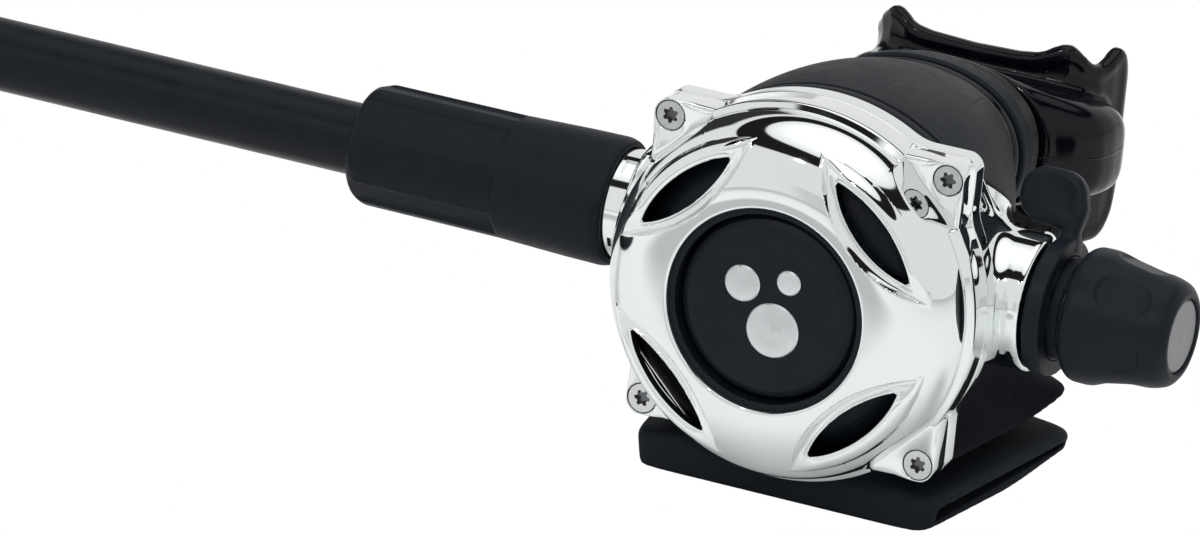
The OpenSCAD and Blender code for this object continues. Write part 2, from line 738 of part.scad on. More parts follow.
module valve_barrel() {
    color("silver") difference() {
        on_barrel(barrel_left) cylinder(r = barrel_r, h = barrel_right - barrel_left, $fn = fine);
        on_barrel(barrel_left - 1) cylinder(r = bore_r, h = barrel_right - barrel_left + 2, $fn = fine);
        // window for the lever, and ports that let the gas out to the mouth
        translate([pivot[0] - 4, -barrel_r - 1, axis_h - 5.2]) cube([7.5, barrel_r - 1.6, 10.4]);
        for (x = [-3, 3]) translate([x, 0, axis_h]) rotate([-90, 0, 0])
            cylinder(r = 2, h = barrel_r + 1, $fn = 32);
    }
}

module orifice() {
    color("gold") on_barrel(-27) difference() {
        rotate_extrude($fn = fine) polygon([
            [1.8, 0], [bore_r - seat_fit, 0], [bore_r - seat_fit, 4], [bore_r - 1.2, 4],
            [bore_r - 1.2, 5.6],
            [bore_r - seat_fit, 5.6], [bore_r - seat_fit, 12], [4, 12.6], [2.9, seat_x - gap + 25.6],
            [2.2, seat_x - gap + 27], [1.8, seat_x - gap + 26.6]
        ]);
        translate([-0.6, -8, -1]) cube([1.2, 16, 1.8]);
    }
}

module orifice_o_ring() {
    color([0.1, 0.1, 0.1]) on_barrel(-27 + 4.8) torus(bore_r - 0.65, 0.55);
}

module poppet() {
    color("white") on_barrel() difference() {
        rotate_extrude($fn = fine) polygon([
            [0, seat_x + 0.9], [4.4, seat_x + 0.9], [4.4, seat_x + 3.4], [3, seat_x + 5], [2.2, seat_x + 6],
            [2.2, collar_x], [5.3, collar_x], [5.3, collar_x + 1.4], [2.2, collar_x + 1.4], [2.2, 20],
            [1.8, 20.6],
            [0, 20.6]
        ]);
        translate([0, 0, seat_x]) cylinder(r = 3.2 + seat_fit, h = 2, $fn = round_fn);
    }
}

module poppet_seat() {
    color("black") on_barrel(seat_x) cylinder(r = 3.2, h = 2 - seat_fit, $fn = round_fn);
}

module poppet_spring() {
    color("silver") on_barrel() spring(3.9, 0.4, collar_x + 1.45, pad_x - 0.05, 7);
}

module spring_pad() {
    color("gold") on_barrel(pad_x) difference() {
        cylinder(r = bore_r - 0.1, h = screw_x - gap - pad_x, $fn = fine);
        translate([0, 0, -1]) cylinder(r = 2, h = 5, $fn = round_fn);
    }
}

knob_x = barrel_right + 0.8;          // inner edge of the knob
hub_r = 3.4;

module adjusting_screw() {
    groove_x = 36;
    color("silver") on_barrel() rotate_extrude($fn = fine) polygon([
        [0, screw_x], [bore_r - 0.6, screw_x], [bore_r - run_fit, screw_x + 0.6],
        [bore_r - run_fit, groove_x],
        [bore_r - 1.2, groove_x], [bore_r - 1.2, groove_x + 1.6], [bore_r - run_fit, groove_x + 1.6],
        [bore_r - run_fit, knob_x - 1], [hub_r, knob_x - 1], [hub_r, knob_x + knob_len - 3],
        [0, knob_x + knob_len - 3]
    ]);
}

module screw_o_ring() {
    color([0.1, 0.1, 0.1]) on_barrel(36.8) torus(bore_r - 0.68, 0.52);
}

module demand_lever() {
    foot = [pivot[0], -2.9];
    heel = [pivot[0], -barrel_r - 1.2];
    elbow = [pivot[0] - 4.5, -barrel_r - 2.3];
    tip_r = 1;
    tip = [-6, -setback - plate_back + gap + tip_r];
    color("gainsboro") {
        for (s = [-1, 1]) hull() for (q = [foot, heel]) translate([q[0], q[1], axis_h + s * 3.9])
            cylinder(r = 0.8, h = 1.6, center = true, $fn = 24);
        hull() for (q = [heel, elbow]) translate([q[0], q[1], axis_h])
            cylinder(r = 0.8, h = 9.4, center = true, $fn = 24);
        hull() for (q = [elbow, tip]) translate([q[0], q[1], axis_h])
            cylinder(r = q == elbow ? 0.8 : tip_r, h = 5, center = true, $fn = 24);
    }
}

// ---- venturi control ----

lever_x = boss_right + 0.6;
lean = 20;                             // angle of the paddle behind upright

module venturi_sleeve() {
    color("dimgray") difference() {
        on_barrel(15) {
            cylinder(r = venturi_r, h = lever_x + lever_ring_w - 15, $fn = fine);
            // vane that steers the gas towards the mouth
            translate([0, 0, -9]) difference() {
                cylinder(r = venturi_r, h = 9.5, $fn = fine);
                translate([-20, -20, -1]) cube([40, 24, 12]);
            }
        }
        on_barrel(0) cylinder(r = barrel_r + run_fit, h = 60, $fn = fine);
    }
}

module venturi_lever() {
    color([0.13, 0.14, 0.15]) {
        on_barrel(lever_x) difference() {
            cylinder(r = lever_ring_r, h = lever_ring_w, $fn = fine);
            translate([0, 0, -1]) cylinder(r = venturi_r + seat_fit, h = 10, $fn = fine);
        }
        translate([0, 0, axis_h]) rotate([-lean, 0, 0]) difference() {
            union() {
                hull() for (q = [[lever_x + 0.2, lever_ring_r - 2], [lever_x - 0.6, lever_ring_r + 3]])
                    translate([q[0] + 1.3, 0, q[1]]) rotate([90, 0, 0])
                        cylinder(r = 1.3, h = 5, center = true, $fn = 24);
                hull() for (q = [
                    [lever_x - 5.3, 6, 3.6], [lever_x - 2.8, paddle_h - 3.4, 3.4], [lever_x - 1.4, 4, 3.2],
                    [lever_x - 4.8, paddle_h - 3.4, 3.4]
                ])
                    translate([q[0], 0, lever_ring_r + q[1]]) rotate([90, 0, 0])
                        cylinder(r = q[2], h = 2.6, center = true, $fn = 32);
            }
            rotate([0, 90, 0]) cylinder(r = lever_ring_r - 1, h = 60, $fn = fine);
        }
    }
}

// ---- adjustment knob ----

flats = 6;

module adjustment_knob() {
    shoulder = knob_x + 4;
    end = knob_x + knob_len;
    taper = atan((knob_r - knob_end_r) / (end - 2 - shoulder));
    color([0.12, 0.12, 0.13]) difference() {
        on_barrel() rotate_extrude($fn = fine) polygon([
            [hub_r + seat_fit, knob_x + 5.6], [hub_r + 4, knob_x + 5.6], [barrel_r + 0.9, knob_x + 4.4],
            [barrel_r + 0.9, knob_x], [knob_r - 1.2, knob_x], [knob_r - 0.5, knob_x + 0.5],
            [knob_r, knob_x + 2],
            [knob_r, shoulder], [knob_r - 0.4, shoulder + 2], [knob_end_r + 0.5, end - 2.4],
            [knob_end_r, end - 1.2],
            [knob_end_r - 0.8, end - 0.3], [knob_end_r - 1.6, end], [6.4, end], [6.2, end - 1.2],
            [hub_r + seat_fit, end - 1.2]
        ]);
        for (a = [0 : 360 / flats : 359]) on_barrel() rotate([0, 0, a + 15])
            translate([knob_r - 0.75, 0, shoulder + 1.4]) rotate([0, -taper, 0])
                translate([0, -3.6, 0]) cube([6, 7.2, knob_len - 8.4]);
    }
}

module knob_disc() {
    color("gray") on_barrel(knob_x + knob_len - 1.15) rotate_extrude($fn = round_fn)
        polygon([[0, 0], [6.15, 0], [6.15, 0.5], [5.8, 0.8], [0, 0.9]]);
}

// ---- hose end on the case ----

nut_x = -boss_left - 0.2;
nut_len = 15.4;
flange_x = barrel_left - 0.1;          // face of the stem's flange against the barrel
tail_r = 5.1;
ferrule_r = 8;
ferrule_end = -72;
guard_x = nut_x - 3.6;

module inlet_stem() {
    color("silver") on_barrel() rotate_extrude($fn = fine) polygon([
        [2.4, -58], [tail_r, -58], [tail_r, flange_x - 2.4], [barrel_r, flange_x - 2.4],
        [barrel_r, flange_x],
        [bore_r - seat_fit, flange_x], [bore_r - seat_fit, flange_x + 2], [bore_r - 1.2, flange_x + 2],
        [bore_r - 1.2, flange_x + 3.6], [bore_r - seat_fit, flange_x + 3.6],
        [bore_r - seat_fit, flange_x + 5.6],
        [2.4, flange_x + 5.6]
    ]);
}

module stem_o_ring() {
    color([0.1, 0.1, 0.1]) on_barrel(flange_x + 2.8) torus(bore_r - 0.65, 0.55);
}

module hose_nut() {
    color("silver") difference() {
        on_barrel(nut_x - nut_len) cylinder(r = nut_r, h = nut_len, $fn = fine);
        on_barrel(flange_x - 2.45) cylinder(r = barrel_r + seat_fit, h = nut_len, $fn = fine);
        on_barrel(nut_x - nut_len - 1) cylinder(r = tail_r + seat_fit, h = nut_len, $fn = fine);
        // wrench notches
        for (a = [0 : 90 : 270]) on_barrel(nut_x - 2.6) rotate([0, 0, a + 30])
            translate([nut_r - 0.6, -1.6, 0])
            cube([2, 3.2, 4]);
    }
}

module hose_ferrule() {
    start = nut_x - nut_len - 0.3;
    color("silver") on_barrel() rotate_extrude($fn = fine) polygon(concat(
        [[tail_r + seat_fit, start], [tail_r + seat_fit, -58.1], [2.4, -58.1], [2.4, ferrule_end],
            [ferrule_r, ferrule_end]],
        [for (k = [0 : 3]) each [[ferrule_r, -69 + 4 * k], [ferrule_r - 0.5, -68.2 + 4 * k],
            [ferrule_r - 0.5, -66.8 + 4 * k], [ferrule_r, -66 + 4 * k]]],
        [[ferrule_r, start]]
    ));
}

module hose_protector() {
    end = guard_x - guard_len;
    rib = 0.58 * guard_len;
    color([0.11, 0.12, 0.13]) difference() {
        on_barrel() rotate_extrude($fn = fine) polygon([
            [hose_d / 2 + 0.15, end], [guard_r - 3.2, end], [guard_r - 1.6, end + 0.8],
            [guard_r - 0.6, end + 2.6],
            [guard_r - 0.5, end + rib], [guard_r - 0.1, guard_x - 8], [guard_r, guard_x - 1.4],
            [guard_r - 0.5, guard_x],
            [nut_r + seat_fit, guard_x], [nut_r + seat_fit, nut_x - nut_len - 0.1],
            [ferrule_r + 0.1, nut_x - nut_len - 0.1], [ferrule_r + 0.1, ferrule_end - 0.1],
            [hose_d / 2 + 0.15, ferrule_end - 0.1]
        ]);
        for (a = [0 : 45 : 315]) on_barrel(end - 1) rotate([0, 0, a + 8]) {
            translate([guard_r - 1.1, -2.5, 0]) cube([3, 5, rib]);
        }
    }
}

// ---- hose ----

// The hose's middle line in x, y and z, from the ferrule to where the coil begins.
route = [
    [-72, 0, 38], [-85, 0, 38], [-105, 0, 38], [-128, 0, 38], [-150, 0, 38], [-161, 1, 37.5],
    [-172, 4.5, 35.5],
    [-182, 10, 32], [-190.5, 17.5, 27.5], [-197.5, 26, 22], [-204, 35.5, 16], [-212, 43.5, 11.5],
    [-221.5, 49.5, 8.2], [-232, 53, 6.4], [-240.5, 54, 6], [-243.5, 54, 6]
];
coil_r = 62;                           // radius of the coil's middle line at its start
coil_step = 12.8;                      // growth of that radius in one turn
coil_turns = 0.8;
coil_mid = [route[len(route) - 1][0] - hose_d, route[len(route) - 1][1] - coil_r];

function coil_point(t) =
    let (r = coil_r + coil_step * t)
    [coil_mid[0] + r * cos(90 + 360 * t), coil_mid[1] + r * sin(90 + 360 * t), hose_d / 2];

coil_steps = 20;
coil_turn_end = coil_point(coil_turns);
coil_way = unit(coil_turn_end - coil_point(coil_turns - 0.01));
coil_exit = coil_turn_end + hose_d * coil_way;
coil_path = concat(
    [route[len(route) - 1]],
    [for (k = [0 : coil_steps]) coil_point(coil_turns * k / coil_steps)],
    [coil_exit]
);

module hose() {
    color([0.1, 0.1, 0.1]) tube(route, hose_d / 2, 12);
}

module hose_coil() {
    color([0.1, 0.1, 0.1]) tube(coil_path, hose_d / 2, 6);
}

// Children are drawn about local z, which leaves the coil's end along the hose.
module on_coil_end(at = 0) {
    translate(coil_exit + at * coil_way) rotate([0, 0, atan2(coil_way[1], coil_way[0])])
        rotate([0, 90, 0]) children();
}

module far_ferrule() {
    color("silver") on_coil_end() rotate_extrude($fn = fine) polygon([
        [0, 0], [hose_d / 2, 0], [hose_d / 2, 18], [0, 18]
    ]);
}

fitting_x = 18.1;
hex_len = 9;

module far_fitting() {
    color("silver") on_coil_end(fitting_x) {
        cylinder(r = 5.6, h = 2, $fn = fine);
        translate([0, 0, 2]) cylinder(r = 6.6, h = hex_len, $fn = 6);
        translate([0, 0, 2 + hex_len]) cylinder(r = thread_r - 1, h = 2, $fn = fine);
        translate([0, 0, 4 + hex_len]) cylinder(r = thread_r, h = thread_len, $fn = fine);
    }
}

module far_o_ring() {
    color([0.1, 0.1, 0.1]) on_coil_end(fitting_x + 3 + hex_len) torus(thread_r + 0.1, 0.95);
}

// least gap between the coil's far half and the hose that comes down to it
coil_gap = min([
    for (p = route, k = [round(coil_steps / 2) : len(coil_path) - 1]) norm(p - coil_path[k]) - hose_d
]);
echo(coil_gap = coil_gap);

front_cover();
cover_insert();
cover_screws();
purge_button();
button_inlay();
button_clip();
purge_spring();
diaphragm();
diaphragm_plate();
case();
body_sleeve();
gloss_ring();
matte_ring();
valve_barrel();
orifice();
orifice_o_ring();
poppet();
poppet_seat();
poppet_spring();
spring_pad();
adjusting_screw();
screw_o_ring();
demand_lever();
venturi_sleeve();
venturi_lever();
adjustment_knob();
knob_disc();
exhaust_valve();
exhaust_tee();
mouthpiece();
mouthpiece_clamp();
inlet_stem();
stem_o_ring();
hose_nut();
hose_ferrule();
hose_protector();
hose();
hose_coil();
far_ferrule();
far_fitting();
far_o_ring();
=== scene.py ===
"""Looks of a diving second stage with its hose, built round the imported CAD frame."""
import json
import math

import bpy
import numpy as np
from mathutils import Matrix, Vector
from numpy.linalg import norm


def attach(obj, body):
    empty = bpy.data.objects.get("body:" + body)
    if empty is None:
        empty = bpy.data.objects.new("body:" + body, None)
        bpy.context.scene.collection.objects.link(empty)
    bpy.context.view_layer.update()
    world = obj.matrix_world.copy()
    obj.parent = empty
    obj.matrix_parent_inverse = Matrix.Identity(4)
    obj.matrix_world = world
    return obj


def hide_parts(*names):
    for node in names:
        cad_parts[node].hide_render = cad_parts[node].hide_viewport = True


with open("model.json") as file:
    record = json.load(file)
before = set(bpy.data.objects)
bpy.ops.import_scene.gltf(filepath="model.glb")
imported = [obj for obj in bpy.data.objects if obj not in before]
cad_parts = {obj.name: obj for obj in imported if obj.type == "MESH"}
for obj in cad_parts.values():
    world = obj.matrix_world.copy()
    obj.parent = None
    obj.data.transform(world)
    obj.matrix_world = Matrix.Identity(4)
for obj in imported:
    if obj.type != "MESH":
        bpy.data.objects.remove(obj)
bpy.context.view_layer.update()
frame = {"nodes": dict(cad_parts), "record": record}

# The barrel's axis runs along x. Most shapes are written in the case's frame, in millimetres: x, y behind the
# plane of the cover's screws and z above the cover's centre.
MM = 0.001
AXIS_Y, AXIS_Z = 18.0, 1.0
CASE_AT = np.array((0.0, -AXIS_Y, 37.0))


def add_object(name, data):
    """New object of the scene."""
    obj = bpy.data.objects.new(name, data)
    bpy.context.scene.collection.objects.link(obj)
    return obj


# ------ camera

def make_camera():
    """Long lens from the front left and above, a little rolled; its view is `width` metres wide."""
    right = np.array((0.90847, 0.40735, 0.09352))
    up = np.array((-0.21877, 0.27282, 0.93686))
    back = np.array((0.3561, -0.8716, 0.3370))
    middle = (-35.16 * right + 33.31 * up) * MM
    distance, width, sensor = 2.7, 0.1961, 36.0
    data = bpy.data.cameras.new("camera")
    data.sensor_width = sensor
    data.lens = sensor * distance / width
    data.clip_end = 50
    cam = add_object("camera", data)
    turn = np.eye(4)
    turn[:3] = np.stack([right, up, back, middle + distance * back], axis=1)
    cam.matrix_world = Matrix(turn.tolist())
    bpy.context.scene.camera = cam


make_camera()


# ------ mesh tools

def placed(points):
    """Metres in the shared frame of points in the case's frame."""
    return (np.asarray(points, float) + CASE_AT) * MM


def circle(count):
    """Evenly spaced angles of one turn."""
    return np.linspace(0, 2 * np.pi, count, endpoint=False)


def nearest(angle, count, offset=0.0):
    """Angle from the middle of the nearest of count even sectors, turned back by offset degrees."""
    width = 2 * np.pi / count
    return (angle + math.radians(offset) + width / 2) % width - width / 2


def stack(*parts):
    """The arrays side by side along a new last axis."""
    return np.stack(np.broadcast_arrays(*parts), axis=-1)


def unit(v):
    """The vectors along the last axis, at length one."""
    return v / np.maximum(norm(v, axis=-1, keepdims=True), 1e-9)


def ease(v, a, b):
    """Cubic step from 0 at a to 1 at b."""
    t = np.clip((v - a) / (b - a), 0, 1)
    return t * t * (3 - 2 * t)


def enclosed(points, faces):
    """Signed volume of a skin, from fans of triangles: positive where its faces look outward."""
    p = np.asarray(points, float)
    p = p - p.mean(axis=0)
    total = 0.0
    for size in {len(f) for f in faces}:
        q = p[np.array([f for f in faces if len(f) == size])]
        for k in range(1, size - 1):
            total += np.einsum("ij,ij->", q[:, 0], np.cross(q[:, k], q[:, k + 1]))
    return total / 6


def mesh_object(name, points, faces, smooth=True):
    """Mesh of the points and faces, with its faces turned outward."""
    faces = [tuple(map(int, f)) for f in faces]
    if enclosed(points, faces) < 0:
        faces = [f[::-1] for f in faces]
    mesh = bpy.data.meshes.new(name)
    mesh.from_pydata([tuple(map(float, p)) for p in points], [], faces)
    mesh.update()
    if smooth:
        mesh.polygons.foreach_set("use_smooth", np.ones(len(mesh.polygons), bool))
    return add_object(name, mesh)


def grid_faces(rows, cols, wrap=True):
    """Quads of a grid of points numbered row by row, closed along its columns where wrap is true."""
    r, c = np.meshgrid(np.arange(rows - 1), np.arange(cols if wrap else cols - 1), indexing="ij")
    n = (c + 1) % cols
    corners = [r * cols + c, r * cols + n, (r + 1) * cols + n, (r + 1) * cols + c]
    return np.stack(corners, axis=-1).reshape(-1, 4)


def closed_faces(rows, cols, wrap=True):
    """Quads of such a grid with its last row joined to its first."""
    return grid_faces(rows + 1, cols, wrap) % (rows * cols)


def capped_faces(rows, cols):
    """Faces of such a grid with a flat one over each end."""
    caps = [tuple(range(cols))[::-1], tuple(range((rows - 1) * cols, rows * cols))]
    return list(grid_faces(rows, cols)) + caps


def smooth_path(points, step):
    """Catmull-Rom cubic through the points, resampled to an even step."""
    p = np.asarray(points, float)
    ext = np.vstack([2 * p[0] - p[1], p, 2 * p[-1] - p[-2]])
    t = np.linspace(0, 1, 12, endpoint=False)[:, None]
    out = []
    for a, b, c, d in zip(ext, ext[1:], ext[2:], ext[3:]):
        square, cube = 2 * a - 5 * b + 4 * c - d, 3 * b - a - 3 * c + d
        out.append(0.5 * (2 * b + (c - a) * t + square * t**2 + cube * t**3))
    out = np.vstack(out + [p[-1:]])
    along = np.concatenate([[0], np.cumsum(norm(np.diff(out, axis=0), axis=1))])
    at = np.linspace(0, along[-1], int(round(along[-1] / step)) + 1)
    return np.stack([np.interp(at, along, out[:, k]) for k in range(3)], axis=1)


def tube_mesh(name, path, radius, sides=32):
    """Tube with flat ends along a path that never runs straight up."""
    p = np.asarray(path, float)
    way = unit(np.gradient(p, axis=0))
    side = unit(np.cross(way, (0, 0, 1.0)))
    top = np.cross(side, way)
    a = circle(sides)
    ring = top[:, None] * np.cos(a)[None, :, None] + side[:, None] * np.sin(a)[None, :, None]
    faces = capped_faces(len(p), sides)
    obj = mesh_object(name, (p[:, None] + radius * ring).reshape(-1, 3), faces)
    rounded = np.ones(len(faces), bool)
    rounded[-2:] = False
    obj.data.polygons.foreach_set("use_smooth", rounded)
    return obj


def revolve(name, profile, sides, radius_of=None):
    """Closed (x, radius) profile turned about the barrel's axis; radius_of(x, radius, angle) shapes it."""
    a = circle(sides)
    x, r = (np.repeat(np.asarray(profile, float)[:, k:k + 1], sides, axis=1) for k in (0, 1))
    if radius_of is not None:
        r = radius_of(x, r, np.broadcast_to(a, r.shape))
    pts = stack(x, -r * np.sin(a), CASE_AT[2] + AXIS_Z + r * np.cos(a)) * MM
    return mesh_object(name, pts.reshape(-1, 3), closed_faces(len(profile), sides))


def loft(name, rings):
    """Skin over rings of points in the case's frame."""
    rings = np.asarray(rings, float)
    return mesh_object(name, placed(rings).reshape(-1, 3), grid_faces(*rings.shape[:2]))


def oval(a, b, y, z, n, turn):
    """Superellipse |x/a|^n + |z/b|^n = 1 at depth y, its middle at height z, at the angles turn."""
    x, rise = (half * np.sign(v) * np.abs(v) ** (2 / n) for half, v in ((a, np.cos(turn)), (b, np.sin(turn))))
    return stack(x, y, z + rise)


# ------ implicit solids

def gradient(field, p, h=0.03):
    """Central differences of field at the points p."""
    return np.stack([(field(p + e) - field(p - e)) / (2 * h) for e in np.eye(3) * h], axis=-1)


def net(name, field, lo, hi, step, polish=3, pin_normals=False):
    """Skin of the solid where field(p) < 0, in the case's frame: a point in each cell that the surface crosses,
    moved by Newton steps p - f grad f / |grad f|^2 onto the zero level."""
    lo, hi = np.array(lo, float), np.array(hi, float)
    axes = [np.arange(a, b + step, step) for a, b in zip(lo, hi)]
    d = field(np.stack(np.meshgrid(*axes, indexing="ij"), axis=-1))
    cells = np.array(d.shape) - 1
    total, count, edges = np.zeros((*cells, 3)), np.zeros(tuple(cells)), []
    for k in range(3):
        u, v = (k + 1) % 3, (k + 2) % 3
        a, b = np.take(d, range(cells[k]), axis=k), np.take(d, range(1, cells[k] + 1), axis=k)
        cross = (a < 0) != (b < 0)
        at = np.argwhere(cross)
        pos = at.astype(float)
        pos[:, k] += a[cross] / (a[cross] - b[cross])
        corners = []
        for du, dv in ((0, 0), (-1, 0), (-1, -1), (0, -1)):
            c = at.copy()
            c[:, u] += du
            c[:, v] += dv
            np.add.at(total, tuple(c.T), pos)
            np.add.at(count, tuple(c.T), 1)
            corners.append(c)
        edges.append((corners, (a < 0)[cross]))
    used = count > 0
    index = np.full(tuple(cells), -1)
    index[used] = np.arange(used.sum())
    pts = lo + step * total[used] / count[used][:, None]
    faces = []
    for corners, inside in edges:
        q = np.stack([index[tuple(c.T)] for c in corners], axis=1)
        faces.append(np.where(inside[:, None], q, q[:, ::-1]))
    for _ in range(polish):
        g = gradient(field, pts)
        move = (field(pts) / np.maximum((g * g).sum(axis=1), 0.25))[:, None] * g
        size = norm(move, axis=1, keepdims=True)
        pts = pts - move * np.minimum(1, 0.5 * step / np.maximum(size, 1e-9))
    obj = mesh_object(name, placed(pts), np.vstack(faces))
    if pin_normals:
        obj.data.normals_split_custom_set_from_vertices(unit(gradient(field, pts)).tolist())
    return obj


def join(a, b, k=0.01):
    """Smooth minimum: the union of two solids with a fillet of about k."""
    h = np.clip(0.5 + 0.5 * (b - a) / k, 0, 1)
    return b + (a - b) * h - k * h * (1 - h)


def both(a, b, k=0.01):
    """Smooth maximum: what two solids share."""
    return -join(-a, -b, k)


def oval_field(u, v, a, b, n=2.0):
    """Signed distance, nearly, to |u/a|^n + |v/b|^n = 1."""
    au, av = np.abs(u / a) + 1e-9, np.abs(v / b) + 1e-9
    w = au**n + av**n
    value = w ** (1 / n) - 1
    slope = w ** (1 / n - 1) * np.hypot(au ** (n - 1) / a, av ** (n - 1) / b)
    return value / np.maximum(slope, 0.3 / np.maximum(a, b))


def rounded_edges(walls, radius):
    """What the walls along the last axis share, its edges rounded by radius."""
    w = walls + radius
    return norm(np.maximum(w, 0), axis=-1) + np.minimum(w.max(axis=-1), 0) - radius


def box_field(q, half, radius):
    """Signed distance to a rounded box of half sizes `half`; q has its middle at zero."""
    return rounded_edges(np.abs(q) - np.asarray(half), radius)


def segment_field(p, a, b):
    """Distance to the segment a-b."""
    a, b = np.asarray(a, float), np.asarray(b, float)
    t = np.clip(((p - a) @ (b - a)) / ((b - a) @ (b - a)), 0, 1)
    return norm(p - a - t[..., None] * (b - a), axis=-1)


def triangle_field(p, a, b, c):
    """Distance to the triangle a, b, c."""
    a, b, c = (np.asarray(v, float) for v in (a, b, c))
    n = np.cross(b - a, c - a)
    n /= norm(n)
    sides = ((a, b), (b, c), (c, a))
    inside = np.all([((p - s) @ np.cross(n, e - s)) >= 0 for s, e in sides], axis=0)
    rim = np.minimum.reduce([segment_field(p, s, e) for s, e in sides])
    return np.where(inside, np.abs((p - a) @ n), rim)


# ------ hose

HOSE_R = 6.0
ROUTE = [
    (-72, 0, 38), (-85, 0, 38), (-105, 0, 38), (-128, 0, 38), (-150, 0, 38), (-161, 1, 37.5), (-172, 4.5, 35.5),
    (-182, 10, 32), (-190.5, 17.5, 27.5), (-197.5, 26, 22), (-204, 35.5, 16), (-212, 43.5, 11.5),
    (-221.5, 49.5, 8.2), (-232, 53, 6.4), (-240.5, 54, 6), (-243.5, 54, 6),
]
COIL_R, COIL_STEP, COIL_TURNS, COIL_TUCK = 62.0, 12.8, 0.8, 1.3


def hose_line():
    """The route, then a flat spiral of growing radius, drawn in a little half way, and a straight end."""
    last = ROUTE[-1]
    mid = (last[0] - 2 * HOSE_R, last[1] - COIL_R)
    t = np.linspace(0, COIL_TURNS, 30)
    r = COIL_R + COIL_STEP * t - COIL_TUCK * np.maximum(np.sin(np.pi * t / COIL_TURNS), 0) ** 0.7
    a = np.pi / 2 + 2 * np.pi * t
    coil = stack(mid[0] + r * np.cos(a), mid[1] + r * np.sin(a), HOSE_R)
    end = coil[-1] + 2 * HOSE_R * unit(coil[-1] - coil[-2])
    return smooth_path(np.vstack([ROUTE, coil, end]), 2.5) * MM


HOSE_LINE = hose_line()
hose = tube_mesh("hose_line", HOSE_LINE, HOSE_R * MM)
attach(hose, "root")
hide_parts("hose", "hose_coil")


# ------ front cover

LIP_R, RIM_R, CREASE, DOME_H, RIM_DEPTH = 17.1, 32.0, 1.6, 12.4, 5.0
DOME_A, DOME_B = RIM_R - 1 - LIP_R - 0.5, DOME_H - CREASE
VENT_AT, VENT_LEN, VENT_W, VENT_WALL = 23.4, 20.8, 4.9, 1.7
FACET_LOW, FACET_LEAN = 30.6, 0.16


def from_cover(x, z, f):
    """Metres in the shared frame from x, z about the cover's centre and f in front of the screw plane."""
    return placed(stack(x, -f, z))


def vent_frame(x, z):
    """Along and across coordinates of the nearest vent, with its angle."""
    a = np.floor(np.arctan2(z, x) / (np.pi / 2)) * np.pi / 2 + np.pi / 4
    return -x * np.sin(a) + z * np.cos(a), x * np.cos(a) + z * np.sin(a) - VENT_AT, a


def cover_profile(angle, n_dome, n_wall):
    """Radius and height of the dome by angle: the quarter ellipse r = LIP + A cos t, f = B sin t, down to the
    corner facet's plane f = (FACET_LOW - q) / LEAN, q along the diagonal, then that plane or the rim's edge."""
    t = np.linspace(0.5 * np.pi, 0.0, 900)
    arc_r, arc_f = LIP_R + 0.5 + DOME_A * np.cos(t), CREASE + DOME_B * np.sin(t)
    diag = np.cos(np.pi / 4 - np.abs(nearest(angle, 4)))
    cut = (FACET_LOW - arc_r[None] * diag[:, None]) / FACET_LEAN < arc_f[None]
    faceted = cut.any(axis=1)
    first = np.where(faceted, cut.argmax(axis=1), len(t) - 1)
    at = np.linspace(0, 1, n_dome)[None] * first[:, None]
    r, f = (np.interp(at, np.arange(len(t)), arc) for arc in (arc_r, arc_f))
    w = np.linspace(0, 1, n_wall + 1)[None, 1:]
    low_r = np.where(faceted, FACET_LOW / diag, RIM_R)[:, None]
    low_f = np.where(faceted, 0.0, CREASE - 0.7)[:, None]
    r_wall, f_wall = r[:, -1:] + (low_r - r[:, -1:]) * w, f[:, -1:] + (low_f - f[:, -1:]) * w
    return np.hstack([r, r_wall]), np.hstack([f, f_wall])


def vent_edge(u, v):
    """Distance outside the lens |v| < W / 2 cut by two arcs of radius R, and the middle of the nearer arc."""
    big = (VENT_LEN**2 + VENT_W**2) / (4 * VENT_W)
    middle = -np.sign(v) * (big - VENT_W / 2)
    return np.hypot(u, v - middle) - big, middle


def relief(r, v, s):
    """Lift round a vent: a rolled rim that ends in a crease outside, a thin lip and a scooped gutter inside."""
    outer = ease(v, -1.6, 1.6)
    rim = 0.85 * np.where(s < 0.9, np.sqrt(np.clip(1 - ((0.9 - s) / 0.9) ** 2, 0, 1)),
                          1 - np.clip((s - 0.9) / 1.7, 0, 1) ** 1.7)
    low = np.clip((s - 0.75) / 1.35, -0.6, 1)
    lip = np.clip(s / 0.3, 0, 1)
    scoop = -1.2 * (1 - low**2) + 0.3 * np.exp(-((s / 0.4) ** 2)) - 0.25 * (1 - np.sqrt(1 - (1 - lip) ** 2))
    ends = ease(r, LIP_R + 0.6, LIP_R + 2.2) * (1 - ease(r, 29.0, 30.4))
    return (outer * rim + (1 - outer) * scoop) * ends


def dome_point(x, z):
    """Point over (x, z): the ellipse or the corner facet, moved along the ellipse's normal by the relief."""
    r = np.maximum(np.hypot(x, z), 1e-9)
    share = np.clip((r - LIP_R - 0.5) / DOME_A, 0, 0.9999)
    f = CREASE + DOME_B * np.sqrt(1 - share**2)
    f = np.minimum(f, (FACET_LOW - (np.abs(x) + np.abs(z)) / np.sqrt(2)) / FACET_LEAN)
    u, v, _ = vent_frame(x, z)
    lift = relief(r, v, np.maximum(vent_edge(u, v)[0], 0))
    nr, nf = share / DOME_A, (f - CREASE) / DOME_B**2
    lift = lift / np.maximum(np.hypot(nr, nf), 1e-9)
    return from_cover(x * (1 + lift * nr / r), z * (1 + lift * nr / r), f + lift * nf)


